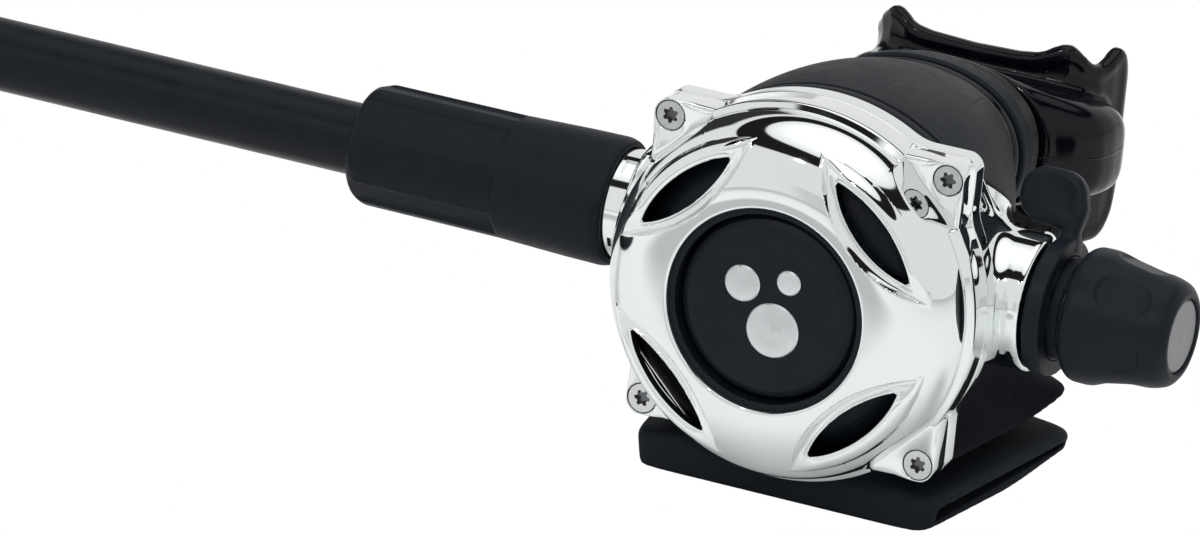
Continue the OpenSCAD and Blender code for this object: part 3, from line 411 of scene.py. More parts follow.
def make_cover():
    """Dome with four lens-shaped vents, plane facets at the corners and a rim that runs back."""
    count = 880
    angle = circle(count)
    r, f = cover_profile(angle, 84, 8)
    # rows before the dome as (radius, height) and behind the rim as (change of radius, height)
    lip = np.array([(LIP_R, DOME_H - 3.0), (LIP_R, DOME_H - 0.45), (LIP_R + 0.1, DOME_H - 0.18),
                    (LIP_R + 0.28, DOME_H - 0.04)])
    skirt = np.array([(0, -0.2), (0, 0.3 - RIM_DEPTH), (-0.3, -RIM_DEPTH), (-2, -RIM_DEPTH)])
    one = np.ones((count, 1))
    r = np.hstack([one * lip[:, 0], r, r[:, -1:] + skirt[:, 0]])
    f = np.hstack([one * lip[:, 1], f, one * skirt[:, 1]])
    x, z = r * np.cos(angle)[:, None], r * np.sin(angle)[:, None]
    u, v, a = vent_frame(x, z)
    s, middle = vent_edge(u, v)
    on_dome = (f > CREASE + 0.5) & (r > LIP_R + 0.6)
    quads = closed_faces(*x.shape, wrap=False)
    inside = (on_dome & (s < 0)).ravel()
    quads = quads[~inside[quads].all(axis=1)]
    kept = np.zeros(x.size, bool)
    kept[quads] = True
    # the points inside the edge of each opening are pulled onto it
    edge = on_dome & (s < 0.05) & kept.reshape(x.shape)
    pull = np.where(edge, s, 0) / np.maximum(np.hypot(u, v - middle), 1e-9)
    u, v = u - u * pull, v - (v - middle) * pull
    s = np.where(edge, 0.0, s)
    x, z = (v + VENT_AT) * np.cos(a) - u * np.sin(a), (v + VENT_AT) * np.sin(a) + u * np.cos(a)
    shaped = on_dome & (s < 3.6) & (s >= 0)
    pts = np.where(shaped[..., None], dome_point(x, z), from_cover(x, z, f)).reshape(-1, 3)
    # wall of each opening, on its own points
    edge = edge.ravel()
    ends_of = np.vstack([quads[:, [k, (k + 1) % 4]] for k in range(4)]).astype(np.int64)
    code, back = (ends_of @ way for way in ((len(pts), 1), (1, len(pts))))
    rim = ends_of[~np.isin(code, back) & edge[ends_of].all(axis=1)]
    used, near = np.unique(rim, return_inverse=True)
    near = near.reshape(rim.shape) + len(pts)
    wall = np.hstack([near[:, ::-1], near + len(used)])
    behind = pts[used] + np.array((0, VENT_WALL, 0)) * MM
    obj = mesh_object("cover_dome", np.vstack([pts, pts[used], behind]), np.vstack([quads, wall]))
    # normals of the relief from the formula itself
    normals = np.zeros(len(obj.data.vertices) * 3)
    obj.data.vertices.foreach_get("normal", normals)
    normals = normals.reshape(-1, 3)
    at, h = np.flatnonzero(shaped.ravel()), 0.03
    xs, zs = x.ravel()[at], z.ravel()[at]
    across = dome_point(xs + h, zs) - dome_point(xs - h, zs)
    normals[at] = unit(np.cross(across, dome_point(xs, zs + h) - dome_point(xs, zs - h)) / MM**2)
    obj.data.normals_split_custom_set_from_vertices(normals.tolist())
    return obj


cover = make_cover()


# ------ ears of the cover and the case

SCREW_HALF, SCREW_SEAT, LUG_HALF, LUG_ROUND = 24.5, 2.62, 27.3, 2.6


def lug_reach(phi):
    """Distance from the middle to the outline of a square with round corners."""
    d = np.pi / 4 - np.abs(nearest(phi, 4))
    mid = (LUG_HALF - LUG_ROUND) * np.sqrt(2)
    side = LUG_HALF / np.cos(np.pi / 4 - d)
    arc = mid * np.cos(d) + np.sqrt(np.clip(LUG_ROUND**2 - (mid * np.sin(d)) ** 2, 0, None))
    edge = np.arctan2(LUG_ROUND * np.sin(np.pi / 4), mid + LUG_ROUND * np.cos(np.pi / 4))
    return np.where(d < edge, arc, side)


def make_plate(name, round_r, y0, y1, inner, edge0, edge1):
    """Flat ring with ears from depth y0 to y1, its outer edges rounded by edge0 and edge1."""
    phi = circle(1440)
    # the circle of the rim, blended with the ears
    reach = both(round_r, lug_reach(phi), 1.2)
    q = np.linspace(0, np.pi / 2, 7)
    rows = [(inner - reach, y1), (inner - reach, y0), (-edge0 - 0.6, y0)]
    rows += [(edge0 * (np.sin(t) - 1), y0 + edge0 * (1 - np.cos(t))) for t in q]
    rows += [(edge1 * (np.cos(t) - 1), y1 - edge1 * (1 - np.sin(t))) for t in q]
    rings = [stack((reach + dr) * np.cos(phi), y, (reach + dr) * np.sin(phi)) for dr, y in rows]
    return loft(name, rings + rings[:1])


def make_ears():
    """Four triangular ears in the screw plane, each with a round recess for its screw."""
    psi = circle(180)
    c, s = np.cos(psi), np.sin(psi)
    half, inner_q = LUG_HALF - SCREW_HALF, SCREW_HALF * np.sqrt(2) - (FACET_LOW - 1.2)
    side = half / np.maximum(np.maximum(c, s), 1e-6)
    chord = inner_q * np.sqrt(2) / np.maximum(-(c + s), 1e-6)
    m = half - LUG_ROUND
    along = c * m + s * m
    arc = along + np.sqrt(np.clip(LUG_ROUND**2 - (2 * m * m - along**2), 0, None))
    corner = (c > 0) & (s > 0) & (arc * c > m) & (arc * s > m)
    reach = np.minimum(np.minimum(np.where(corner, arc, side), chord), 12.5)
    edge = np.clip(0.9 * (reach - 2.68) / 2.0, 0.08, 1.1)
    # (radius about the screw, height): the recess, the rolled edge and the back
    rows = [(0.5, -1.7), (SCREW_SEAT, -1.7), (SCREW_SEAT, -0.12), (2.7, 0.0)]
    rows += [(reach - edge * (1 - np.sin(t)), -edge * (1 - np.cos(t))) for t in np.linspace(0, np.pi / 2, 7)]
    rows += [(reach, -4.7), (reach - 0.2, -4.9), (reach - 2.0, -4.9)]
    objs = []
    for k in range(4):
        rings = []
        for radius, f in rows:
            x, z = SCREW_HALF + radius * c, SCREW_HALF + radius * s
            for _ in range(k):
                x, z = -z, x
            rings.append(stack(x, -f, z))
        objs.append(loft(f"cover_ear_{k + 1}", rings))
    return objs


ears = make_ears()
flange = make_plate("case_flange", 31.9, 5.05, 9.5, 26.0, 0.35, 1.3)


# ------ body

BODY_Y, BODY_R, BODY_SWELL = 9.5, 31.2, 1.7
THROAT_Y, THROAT_A, THROAT_B, THROAT_RISE, SPOUT_FALL = 44.0, 18.7, 14.2, 12.8, 0.12
SPOUT, BORE, OUTLET_Y = (14.6, 10.1, 2.15), (13.0, 8.5, 2.15), 28.0
# the sleeve's lower edge: its height at the front and how it falls toward the mouth
EDGE_Z, SLOPE = 24.2, math.tan(math.radians(31.5))


def body_section(y, grow=0.0):
    """Half widths, middle height and exponent at depth y: from a circle to the oval throat, fuller half way."""
    t = (y - BODY_Y) / (THROAT_Y - BODY_Y)
    swell = BODY_SWELL * 4 * t * (1 - t)
    a, b = (BODY_R + (end - BODY_R) * t + swell + grow for end in (THROAT_A, THROAT_B))
    return a, b, THROAT_RISE * t, 2 + 0.15 * t


def body_field(p, grow=0.0):
    """The body's section at each depth as an implicit solid."""
    a, b, rise, n = body_section(np.clip(p[..., 1], BODY_Y, THROAT_Y), grow)
    return oval_field(p[..., 0], p[..., 2] - rise, a, b, n)


def spout_z(y):
    """Height of the spout's middle at depth y."""
    return THROAT_RISE - SPOUT_FALL * (y - THROAT_Y)


def axis_radius(p):
    """Distance from the barrel's axis."""
    return np.hypot(p[..., 1] - AXIS_Y, p[..., 2] - AXIS_Z)


def case_field(p):
    """Body, two bosses, a web from each upper ear down to its boss, spout and outlet, all hollow."""
    x, y, z = p[..., 0], p[..., 1], p[..., 2]
    # lower under the sleeve's front groove, where the sleeve hides it
    under = ease(z, 22.7, 23.9) * (1 - ease(y, 14.5, 17.0))
    solid = both(both(body_field(p, -0.3 - 1.0 * under), 9.0 - y), y - 43.7, 0.5)
    r = axis_radius(p)
    boss = both(both(r - 11.5, x - 36.5, 0.9), -34.4 - x, 0.9)
    solid = join(solid, boss, 3.0)
    side = stack(np.abs(x), y, z)
    web = triangle_field(side, (24.6, 8.2, 23.4), (25.4, 24.0, 6.0), (19.0, 17.0, 8.0)) - 2.2
    solid = join(solid, web, 0.9)
    spout = both(oval_field(x, z - spout_z(y), *SPOUT), np.abs(y - 50.0) - 10.0)
    outlet = both(np.hypot(x, y - OUTLET_Y) - 15.0, np.abs(z + 14.0) - 10.4)
    solid = join(join(solid, spout), outlet)
    hollow = both(body_field(p, -4.7), y - 42.0)
    hollow = join(hollow, oval_field(x, z - spout_z(y), *BORE))
    hollow = join(hollow, both(r - 8.7, 8.0 - x))
    hollow = join(hollow, both(r - 7.55, x))
    # stop slot for the arm of the lever
    turn = np.degrees(np.arctan2(y - AXIS_Y, z - AXIS_Z))
    slot = both(both(np.abs(turn - 32.0) - 26.0, 34.6 - x, 0.3), 9.6 - r)
    return both(both(solid, -hollow), -slot, 0.25)


def make_sleeve():
    """Upper skin of the body, ended below by a plane that slopes down to the mouth, with rolled edges."""
    def spread(n):
        """Shares from 0 to 1, closer together at both ends."""
        return np.concatenate([(0, 0.002, 0.006, 0.012), 0.015 + 0.97 * np.linspace(0, 1, n),
                               (0.988, 0.994, 0.998, 1.0)])

    edge_r, under = 0.45, 1.3
    rows, cols = np.unique(np.concatenate([spread(60), np.linspace(0.002, 0.115, 50)])), spread(160)
    pts = []
    for share in rows:
        y = BODY_Y + 0.05 + (THROAT_Y - BODY_Y - 0.1) * share
        a, b, rise, n = body_section(y)
        low = np.clip((EDGE_Z - (y - BODY_Y) * SLOPE - rise) / b, -1, 1)
        start = np.arcsin(np.sign(low) * np.abs(low) ** (n / 2))
        turn = start + (np.pi - 2 * start) * cols
        side = np.minimum(cols, 1 - cols) * (np.pi - 2 * start) * b
        e = np.minimum(side, min(share, 1 - share) * (THROAT_Y - BODY_Y))
        drop = edge_r * (1 - np.sqrt(np.clip(1 - np.clip(1 - e / edge_r, 0, 1) ** 2, 0, 1)))
        ahead = y - BODY_Y
        groove = ease(ahead, 2.3, 2.6) * (1 - ease(ahead, 3.1, 3.35)) * ease(side, 3.0, 6.0)
        drop = drop + 0.75 * groove - 0.16 * max(0.0, 1 - ((ahead - 1.2) / 1.2) ** 2)
        drop = np.where(e <= 0, under, drop)
        ring = oval(a, b, y, rise, n, turn)
        pts.append(ring - unit(ring - (0, y, rise)) * drop[:, None])
    faces = grid_faces(len(rows), len(cols), wrap=False)
    return mesh_object("sleeve_skin", placed(pts).reshape(-1, 3), faces)


body = net("case_shell", case_field, (-40, 4, -28), (40, 62, 34), 0.6, polish=4, pin_normals=True)
sleeve = make_sleeve()


def make_band(name, grow, y0, y1, profile, n=2.15):
    """Oval band round the throat; profile gives (share of the width, growth) from front to back."""
    rings = []
    for share, g in profile:
        y = y0 + (y1 - y0) * share
        rings.append(oval(THROAT_A + grow + g, THROAT_B + grow + g, y, spout_z(y), n, circle(160)))
    return loft(name, rings)


RING_Y, CLAMP_Y = THROAT_Y + 4.4, THROAT_Y + 8.6
roll = [(0, -3), (0, -0.6), (0.03, -0.3), (0.1, -0.08)]
roll_back = [(1 - t, g) for t, g in roll[::-1]]
groove = [(0.25, 0.0), (0.38, 0.05), (0.46, -0.35), (0.5, -0.5), (0.54, -0.35), (0.62, 0.1), (0.75, 0.1)]
lines = [(0.2, 0), (0.3, 0.0), (0.36, -0.12), (0.42, 0), (0.6, 0), (0.66, -0.12), (0.72, 0), (0.8, 0)]
wraps = [(0.15 + 0.7 * k / 24, -0.14 * (k % 4 == 2) - 0.05 * (k % 2)) for k in range(25)]
gloss = make_band("groove_ring", -0.5, THROAT_Y + 0.05, RING_Y, roll + groove + roll_back)
matte = make_band("lined_ring", 0.2, RING_Y + 0.05, CLAMP_Y, roll + lines + roll_back)
clamp = make_band("clamp_band", -0.9, CLAMP_Y + 0.1, CLAMP_Y + 5.4,
                  [(0, -2), (0, -0.5), (0.03, -0.15), (0.1, 0.0)] + wraps
                  + [(0.9, 0.0), (0.97, -0.15), (1.0, -0.5), (1.0, -2)], n=2.3)


# ------ mouthpiece

# line of the lip flange in plan: (x, y)
ARCH = np.array([(0, 69.8), (8, 69.85), (12.5, 70.2), (15.4, 71.1), (17.4, 72.6), (19, 75), (20, 78),
                 (20.6, 81), (20.8, 83.6)])
# (y, half width, half height, exponent)
NECK = np.array([(57, 17.8, 13.2, 2.3), (58.7, 18, 13.2, 2.3), (60.2, 20.4, 12.2, 2.5), (62, 23.2, 11, 3),
                 (64.5, 25.2, 10.1, 3.7), (68, 26, 9.5, 4.3), (72, 26.1, 9.3, 4.3), (75, 25.2, 8.8, 4),
                 (77.5, 22.6, 7.4, 3.4), (79.5, 17, 4.5, 3)])
# upper and lower edge of the flange: (distance along ARCH, height)
LIP_TOP = np.array([(0, 23.2), (8, 23.5), (11.3, 24), (13.5, 25.4), (15.4, 26.2), (17, 25.6), (18.8, 23.6),
                    (20.4, 22.3), (22.2, 22.2), (24, 23.2), (25.6, 24.3), (27, 24.3), (28.6, 22.6), (30, 19.5)])
LIP_LOW = np.array([(0, -4.4), (4, -4.9), (8, -6.2), (12, -7.6), (16, -8.4), (20, -8.8), (24, -8.8), (26, -7.8),
                    (28, -4.8), (29.5, 1)])
BITE_Z = 9.68


def smooth_table(v, table, width):
    """Table of rows (v, values...) averaged over a small window, so that its corners are round."""
    out = 0
    for w in np.linspace(-1, 1, 5) * width:
        out = out + np.stack([np.interp(v + w, table[:, 0], table[:, k]) for k in range(1, table.shape[1])])
    return out / 5


def arch_frame(x, y):
    """Signed distance from ARCH in plan, positive behind it, and the distance along it."""
    ax = np.abs(x)
    best, along, run = np.full(ax.shape, 1e9), np.zeros(ax.shape), 0.0
    offset = np.zeros(ax.shape)
    for (x0, y0), (x1, y1) in zip(ARCH, ARCH[1:]):
        d = np.array((x1 - x0, y1 - y0))
        size = np.hypot(*d)
        d /= size
        t = (ax - x0) * d[0] + (y - y0) * d[1]
        tc = np.clip(t, 0, size)
        gap = np.hypot(ax - x0 - tc * d[0], y - y0 - tc * d[1])
        near = gap < best
        best = np.where(near, gap, best)
        side = -(ax - x0) * d[1] + (y - y0) * d[0]
        offset = np.where(near, gap * np.sign(side), offset)
        # beyond its last point the line runs straight on
        beyond = (t > size) & (x1 == ARCH[-1, 0])
        along = np.where(near, run + np.where(beyond, t, tc), along)
        run += size
    return offset, along


def mouthpiece_field(p):
    """Cuff and fat round neck, the curved lip flange with a raised edge, two ridged bite tabs, and the bore."""
    x, y, z = p[..., 0], p[..., 1], p[..., 2]
    a, b, n = smooth_table(y, NECK, 0.9)
    rise = spout_z(y)
    # twisted a little on its spout: the left half sits narrower and lower, the right half wider
    slim = x * (1 + 0.05 * ease(-x, 6.0, 16.0) - 0.035 * ease(x, 6.0, 16.0))
    sag = 5.6 * ease(-x, 15.0, 28.0)
    neck = both(both(oval_field(slim, z + sag - rise, a, b, n), 58.5 - y, 0.6), y - 78.6, 1.5)
    offset, along = arch_frame(slim, y)
    top, low = smooth_table(along, LIP_TOP, 0.8)[0], smooth_table(along, LIP_LOW, 0.8)[0]
    top = top - 2.6 * ease(along, 20.0, 25.0) * (x < 0)
    rim = both(both(z - top, low - z, 1.0), along - 29.2, 3.0)
    bead = 1.1 + 0.25 * np.exp(-((rim + 1.6) ** 2))
    flange = rounded_edges(stack(rim, np.abs(offset) - bead), 0.9)
    solid = join(neck, flange, 2.6)
    side = stack(np.abs(x) - 15.2, y - 79.5, z - BITE_Z)
    tab = box_field(side, (3.7, 7.7, 1.5), 1.0)
    ridge = box_field(side - (0, 6.4, 0), (3.7, 1.25, 3.5), 1.0)
    solid = join(solid, join(tab, ridge, 1.0), 1.4)
    cuff = y < 60.4
    bore = oval_field(x, z - rise, np.where(cuff, 14.65, 13.0), np.where(cuff, 10.15, 8.5), 2.15)
    passage = join(both(bore, y - 68.0, 2.0), oval_field(x, z - rise, 9.6, 5.4, 2.3), 1.5)
    inner = np.where(y < 66, bore, passage)
    return both(solid, -inner, 0.4)


mouthpiece = net("mouthpiece_skin", mouthpiece_field, (-28, 57, -11), (28, 93, 28), 0.5)


# ------ exhaust tee

FOOT = -37.0
# (height above the foot, half width, half depth, y of the middle, exponent)
TEE = np.array([(0, 28.4, 24, 26.6, 18), (1.2, 28.8, 24, 26.6, 18), (4.4, 29.4, 24, 26.6, 18),
                (5.2, 29.4, 23.9, 26.6, 16), (5.9, 28.8, 23.5, 26.6, 14), (7, 22.4, 22.6, 26.6, 6),
                (8.8, 21.6, 22.2, 26.6, 6), (9.7, 27.4, 23.2, 28, 14), (10.5, 27.9, 23.6, 28.6, 14),
                (12.4, 26.4, 23, 29, 7), (15, 24, 21.4, 29.4, 5), (18, 22, 19.6, 29.4, 4),
                (24, 19.8, 17.8, 29, 3.2), (34, 18.6, 16, 28.6, 3)]) + (FOOT, 0, 0, 0, 0)


def tee_field(p):
    """Low wide duct: a foot with an upper lip and a slit at each end, a sharp groove, flanks that sweep up."""
    x, y, z = p[..., 0], p[..., 1], p[..., 2]
    rise = 0.11 * np.maximum(y - 36.0, 0) * ease(z, FOOT + 6.5, FOOT + 9.0)
    a, b, mid, n = smooth_table(z - rise, TEE, 0.4)
    x = x / (1 + 0.0042 * (y - 26.6))
    keel = FOOT + 2.4 * ease(y, 28.0, 50.0) * ease(np.abs(x), 12.0, 29.0)
    solid = both(both(oval_field(x, y - mid, a, b, n), keel - z, 0.5), z + 13.0, 1.0)
    x, side = p[..., 0], np.abs(p[..., 0])
    solid = both(solid, -body_field(p, 0.1), 0.6)
    # clear of the case's flange and ears
    plate = both(np.hypot(x, z) - 32.3, y - 9.8)
    ears = box_field(stack(side - 20, y, np.abs(z) - 20), (7.7, 9.8, 7.7), 2.7)
    solid = both(solid, -join(plate, ears), 0.4)
    # the slit is deepest at the front and tapers to nothing at the back
    lift = FOOT + 2.7 + 0.035 * (y - 26)
    open_ = np.clip(1.25 - 0.02 * (y - 8.0), 0.35, 1.25)
    slit = both(both(np.abs(z - lift) - open_, np.abs(y - 27.5) - 21.0, 0.5), 12.0 - side)
    chamber = both(np.hypot(x, y - OUTLET_Y) - 15.1, -34.8 - z)
    return both(both(solid, -slit, 0.5), -chamber)


tee = net("exhaust_tee_skin", tee_field, (-35, 0.5, -38.2), (35, 55, -8), 0.5)


# ------ lever of the air flow

LEVER_X, LEAN = 37.1, math.radians(20)


def lever_field(p):
    """Ring round the boss's end with a leaf-shaped paddle, thick along its outer edge and leaning back."""
    x, dy, dz, r = p[..., 0], p[..., 1] - AXIS_Y, p[..., 2] - AXIS_Z, axis_radius(p)
    ring = rounded_edges(stack(np.abs(x - LEVER_X - 1.5) - 1.5, r - 11.3), 0.45)
    ring = both(ring, 8.66 - r, 0.2)
    out, across = dz * np.cos(LEAN) + dy * np.sin(LEAN), dy * np.cos(LEAN) - dz * np.sin(LEAN)
    leaf = box_field(stack(x - 34.1, out - 17.3), (5.7, 4.6), 4.3)
    stem = box_field(stack(x - 38.2, out - 12.0), (1.65, 4.6), 0.8)
    flat = both(join(leaf, stem, 2.4), -both(x - 36.6, out - 12.3), 0.3)
    dish = 1.3 + 0.45 * np.exp(-(((flat + 1.3) / 1.1) ** 2)) * ease(x, 33.0, 37.0)
    paddle = rounded_edges(stack(flat, np.abs(across) - dish), 0.8)
    paddle = both(paddle, 9.8 - r, 0.2)
    return join(ring, paddle, 1.0)


lever = net("venturi_lever_skin", lever_field, (26, 5, -12), (42, 32, 26), 0.35)


# ------ knob and hose protector

KNOB_X, KNOB_END = 43.0, 61.0


def knob_radius(x, r, angle):
    """Six shallow flat panels with round ends along the tapered part of the grip."""
    turn = nearest(angle, 6, 15)
    start, stop = KNOB_X + 5.2, KNOB_END - 4.4
    plane = (10.4 - (x - start) * math.tan(math.radians(10.6))) / np.cos(turn)
    # the panel's outline: a slot with round ends, faded over half a millimetre
    edge = np.hypot(x - np.clip(x, start + 3.2, stop - 3.2), r * np.sin(turn)) - 3.5
    inside = 1 - ease(edge, -0.35, 0.25)
    return np.where(r > 7.5, r - np.maximum(r - plane, 0) * inside, r)


def dense(points, radius, step):
    """Closed profile with its corners rounded by quadratic curves and no straight run longer than step."""
    p = np.asarray(points, float)
    soft = []
    for a, b, c in zip(np.roll(p, 1, axis=0), p, np.roll(p, -1, axis=0)):
        la, lc = norm(a - b), norm(c - b)
        cut = min(radius, 0.45 * la, 0.45 * lc)
        start, end = b + (a - b) / la * cut, b + (c - b) / lc * cut
        soft += [(1 - t) ** 2 * start + 2 * t * (1 - t) * b + t * t * end for t in np.linspace(0, 1, 5)]
    out = []
    for a, b in zip(soft, soft[1:] + soft[:1]):
        n = max(1, int(np.ceil(norm(b - a) / step)))
        out += [a + (b - a) * k / n for k in range(n)]
    return np.array(out)


knob = revolve("adjustment_knob_skin", dense([
    (3.45, KNOB_X + 5.6), (7.4, KNOB_X + 5.6), (8.4, KNOB_X + 4.4), (8.4, KNOB_X), (10.2, KNOB_X),
    (11.15, KNOB_X + 1.2), (11.2, KNOB_X + 4), (10.8, KNOB_X + 6), (9.1, KNOB_END - 2.6), (8.5, KNOB_END - 0.9),
    (7.2, KNOB_END), (6.45, KNOB_END), (6.2, KNOB_END - 0.5), (6.2, KNOB_END - 1.2), (3.45, KNOB_END - 1.2)],
    0.7, 0.3)[:, ::-1], 360, radius_of=knob_radius)

GUARD_X, GUARD_END, GUARD_R = -38.2, -85.2, 10.8
RIB_END = GUARD_END + 0.58 * (GUARD_X - GUARD_END)


def guard_radius(x, r, angle):
    """Eight flat recesses with soft edges along the outer part of the sleeve."""
    turn = nearest(angle, 8, 8)
    wide = np.abs(r * np.sin(turn)) - 2.5
    edge = np.maximum(wide, x - RIB_END)
    depth = np.clip(r - (GUARD_R - 1.35) / np.cos(turn), 0, 2) * (1 - ease(edge, -0.3, 0.2))
    return np.where(r > 8.4, r - depth, r)


guard = revolve("hose_protector_skin", dense([
    (6.15, GUARD_END), (7.7, GUARD_END), (9.3, GUARD_END + 0.9), (10.2, GUARD_END + 2.6), (10.3, RIB_END),
    (10.7, GUARD_X - 8), (GUARD_R, GUARD_X - 1.4), (10.3, GUARD_X), (9.35, GUARD_X), (9.35, -50.1), (8.1, -50.1),
    (8.1, -72.1), (6.15, -72.1)], 0.8, 0.4)[:, ::-1], 288, radius_of=guard_radius)


# ------ diaphragm, exhaust valve and spring

def turned(name, profile, centre, upright, sides=128):
    """Closed (radius, height) profile turned about an upright axis or one toward the front."""
    a = circle(sides)
    r, h = (np.asarray(profile, float)[:, k:k + 1] + 0 * a for k in (0, 1))
    x, s = r * np.cos(a), r * np.sin(a)
    pts = (stack(x, -s, h) if upright else stack(x, -h, s)) + centre
    return mesh_object(name, placed(pts).reshape(-1, 3), closed_faces(len(profile), sides))


diaphragm = turned("diaphragm_skin", dense([
    (13.25, -3.5), (19, -3.5), (21, -5.1), (23.5, -5.1), (25.5, -5), (29.6, -5), (29.6, -3.2), (28, -3.2),
    (26.2, -4), (24.2, -4.3), (20.6, -4.3), (18.8, -2.7), (13.25, -2.7)], 0.6, 0.6), (0, 0, 0), upright=False)
exhaust_valve = turned("exhaust_valve_skin", dense([
    (0.02, -2), (1.8, -2), (3, -1.4), (13.6, -0.8), (13.8, -0.3), (13.6, 0), (1.2, 0), (1.2, 2.2), (2.0, 2.6),
    (1.8, 3.6), (0.02, 5)], 0.3, 0.8), (0, OUTLET_Y, -24.45), upright=True)
gap_ring = revolve("barrel_wiper", dense([(40.25, 7.55), (40.25, 8.3), (42, 8.3), (42, 7.55)], 0.2, 0.3), 160)


def make_return_spring(low, wide, narrow, height, wire, turns, sides=12):
    """Conical coil whose radius falls from wide to narrow, as flat as the pressed button leaves it."""
    t = np.linspace(0, 1, int(turns * 48) + 1)[:, None]
    k = np.linspace(0, 2 * np.pi, sides, endpoint=False)[None]
    a = 2 * np.pi * turns * t
    reach = wide + (narrow - wide) * t + wire * np.cos(k)
    rise = low + wire + (height - 2 * wire) * t + wire * np.sin(k)
    pts = from_cover(reach * np.cos(a), reach * np.sin(a), rise)
    return mesh_object("return_spring", pts.reshape(-1, 3), capped_faces(len(t), sides))


return_spring = make_return_spring(3.25, 11.2, 8.0, 2.1, 0.45, 3)


# ------ materials

class Tree:
    """A node tree with short helpers."""

    operations = {"+": "ADD", "-": "SUBTRACT", "*": "MULTIPLY"}

    def __init__(self, tree):
        self.nt = tree

    def node(self, kind, inputs=(), **props):
        """New node, with its properties set and its inputs set or linked."""
        n = self.nt.nodes.new(kind)
        for k, v in props.items():
            setattr(n, k, v)
        for k, v in dict(inputs).items():
            if isinstance(v, bpy.types.NodeSocket):
                self.nt.links.new(v, n.inputs[k])
            else:
                n.inputs[k].default_value = v
        return n

    def math(self, op, a, b=0.0):
        """Result of an operation on two values or sockets."""
        return self.node("ShaderNodeMath", {0: a, 1: b}, operation=self.operations.get(op, op)).outputs[0]

    def remap(self, value, a, b, lo=0.0, hi=1.0, smooth=False):
        """The value taken from a..b to lo..hi and held at the ends."""
        return self.node("ShaderNodeMapRange", {0: value, 1: a, 2: b, 3: lo, 4: hi},
                         interpolation_type="SMOOTHSTEP" if smooth else "LINEAR").outputs[0]


class Graph(Tree):
    """A material's nodes; every texture uses Object coordinates in metres."""

    def __init__(self, name, color, rough, metallic=0.0, specular=0.5):
        self.mat = bpy.data.materials.new(name)
        self.mat.use_nodes = True
        super().__init__(self.mat.node_tree)
        self.bsdf = self.nt.nodes["Principled BSDF"]
        self.coord = self.node("ShaderNodeTexCoord").outputs["Object"]
        self.relief = None
        for socket, value in (("Base Color", (*color, 1)), ("Roughness", rough), ("Metallic", metallic),
                              ("Specular IOR Level", specular)):
            self.bsdf.inputs[socket].default_value = value

    def axis(self, k):
        """Coordinate k in metres."""
        return self.node("ShaderNodeSeparateXYZ", {0: self.coord}).outputs[k]

    def noise(self, scale, detail=3.0, stretch=(1, 1, 1), rough=0.55):
        """Noise from 0 to 1 with `scale` features a metre."""
        at = self.node("ShaderNodeVectorMath", {0: self.coord, 1: stretch}, operation="MULTIPLY").outputs[0]
        inputs = {"Vector": at, "Scale": scale, "Detail": detail, "Roughness": rough}
        return self.node("ShaderNodeTexNoise", inputs).outputs["Fac"]

    def cells(self, scale):
        """Distance to the nearest of the points of a cellular texture."""
        return self.node("ShaderNodeTexVoronoi", {"Vector": self.coord, "Scale": scale}).outputs["Distance"]

    def rough(self, value, lo, hi, a=0.3, b=0.7):
        """Roughness from lo to hi as the value goes from a to b."""
        self.nt.links.new(self.remap(value, a, b, lo, hi), self.bsdf.inputs["Roughness"])

    def tint(self, value, dark, light, a=0.3, b=0.7):
        """Colour from dark to light as the value goes from a to b."""
        mix = self.node("ShaderNodeMix", {"Factor": self.remap(value, a, b)}, data_type="RGBA")
        mix.inputs["A"].default_value = (*dark, 1)
        mix.inputs["B"].default_value = (*light, 1)
        self.nt.links.new(mix.outputs["Result"], self.bsdf.inputs["Base Color"])

    def bump(self, value, mm, strength=1.0):
        """Adds value times mm millimetres of relief on top of the relief given before."""
        n = self.node("ShaderNodeBump", {"Strength": strength, "Distance": mm * MM, "Height": value})
        if self.relief is not None:
            self.nt.links.new(self.relief, n.inputs["Normal"])
        self.relief = n.outputs[0]
        self.nt.links.new(self.relief, self.bsdf.inputs["Normal"])


def chrome_plate():
    """Mirror plating with faint smudges, a barely wavy base and hairline marks."""
    g = Graph("chrome_plate", (0.78, 0.81, 0.80), 0.04, 1.0)
    smudge = g.noise(55, 5)
    g.rough(smudge, 0.018, 0.075, 0.42, 0.72)
    g.tint(g.noise(30, 3), (0.765, 0.795, 0.785), (0.81, 0.84, 0.83))
    g.bump(g.noise(45, 2), 0.02, 0.35)
    g.bump(g.noise(900, 2, (1, 0.08, 0.5)), 0.0012, 0.5)
    return g.mat


def grained(name, color, rough, grain, depth, specular):
    """Moulded plastic with a fine grain, patchy gloss and a slight change of shade."""
    g = Graph(name, color, rough, specular=specular)
    fine, wide = g.noise(grain, 4, rough=0.65), g.noise(140, 4)
    g.rough(wide, rough - 0.05, rough + 0.07)
    g.tint(wide, tuple(c * 0.86 for c in color), tuple(c * 1.16 for c in color))
    g.bump(fine, depth)
    return g


def satin_rubber():
    """Moulded rubber: fine tooth, pale dust specks and a faint bloom."""
    g = grained("satin_rubber", (0.005, 0.0075, 0.0112), 0.5, 1500, 0.03, 0.13)
    g.bump(g.remap(g.cells(700.0), 0.0, 0.12, 1.0, 0.0), 0.02, 0.5)
    return g.mat


def tee_rubber():
    """Matt rubber with painted shade: greyer along the foot and nearly black on the flanks, darker with height.
    """
    g = grained("dark_rubber", (0.004, 0.006, 0.009), 0.55, 1500, 0.03, 0.035)
    # painted shade: the colour darkens with height from the lit foot to the shaded flanks, with a little random
    # wobble
    height = g.math("+", g.axis(2), g.math("*", g.math("-", g.noise(120, 3), 0.5), 0.004))
    flank_shade = g.remap(height, 0.004, 0.011, smooth=True)
    g.tint(flank_shade, (0.0125, 0.0155, 0.0195), (0.0022, 0.0036, 0.0058), 0.0, 1.0)
    return g.mat


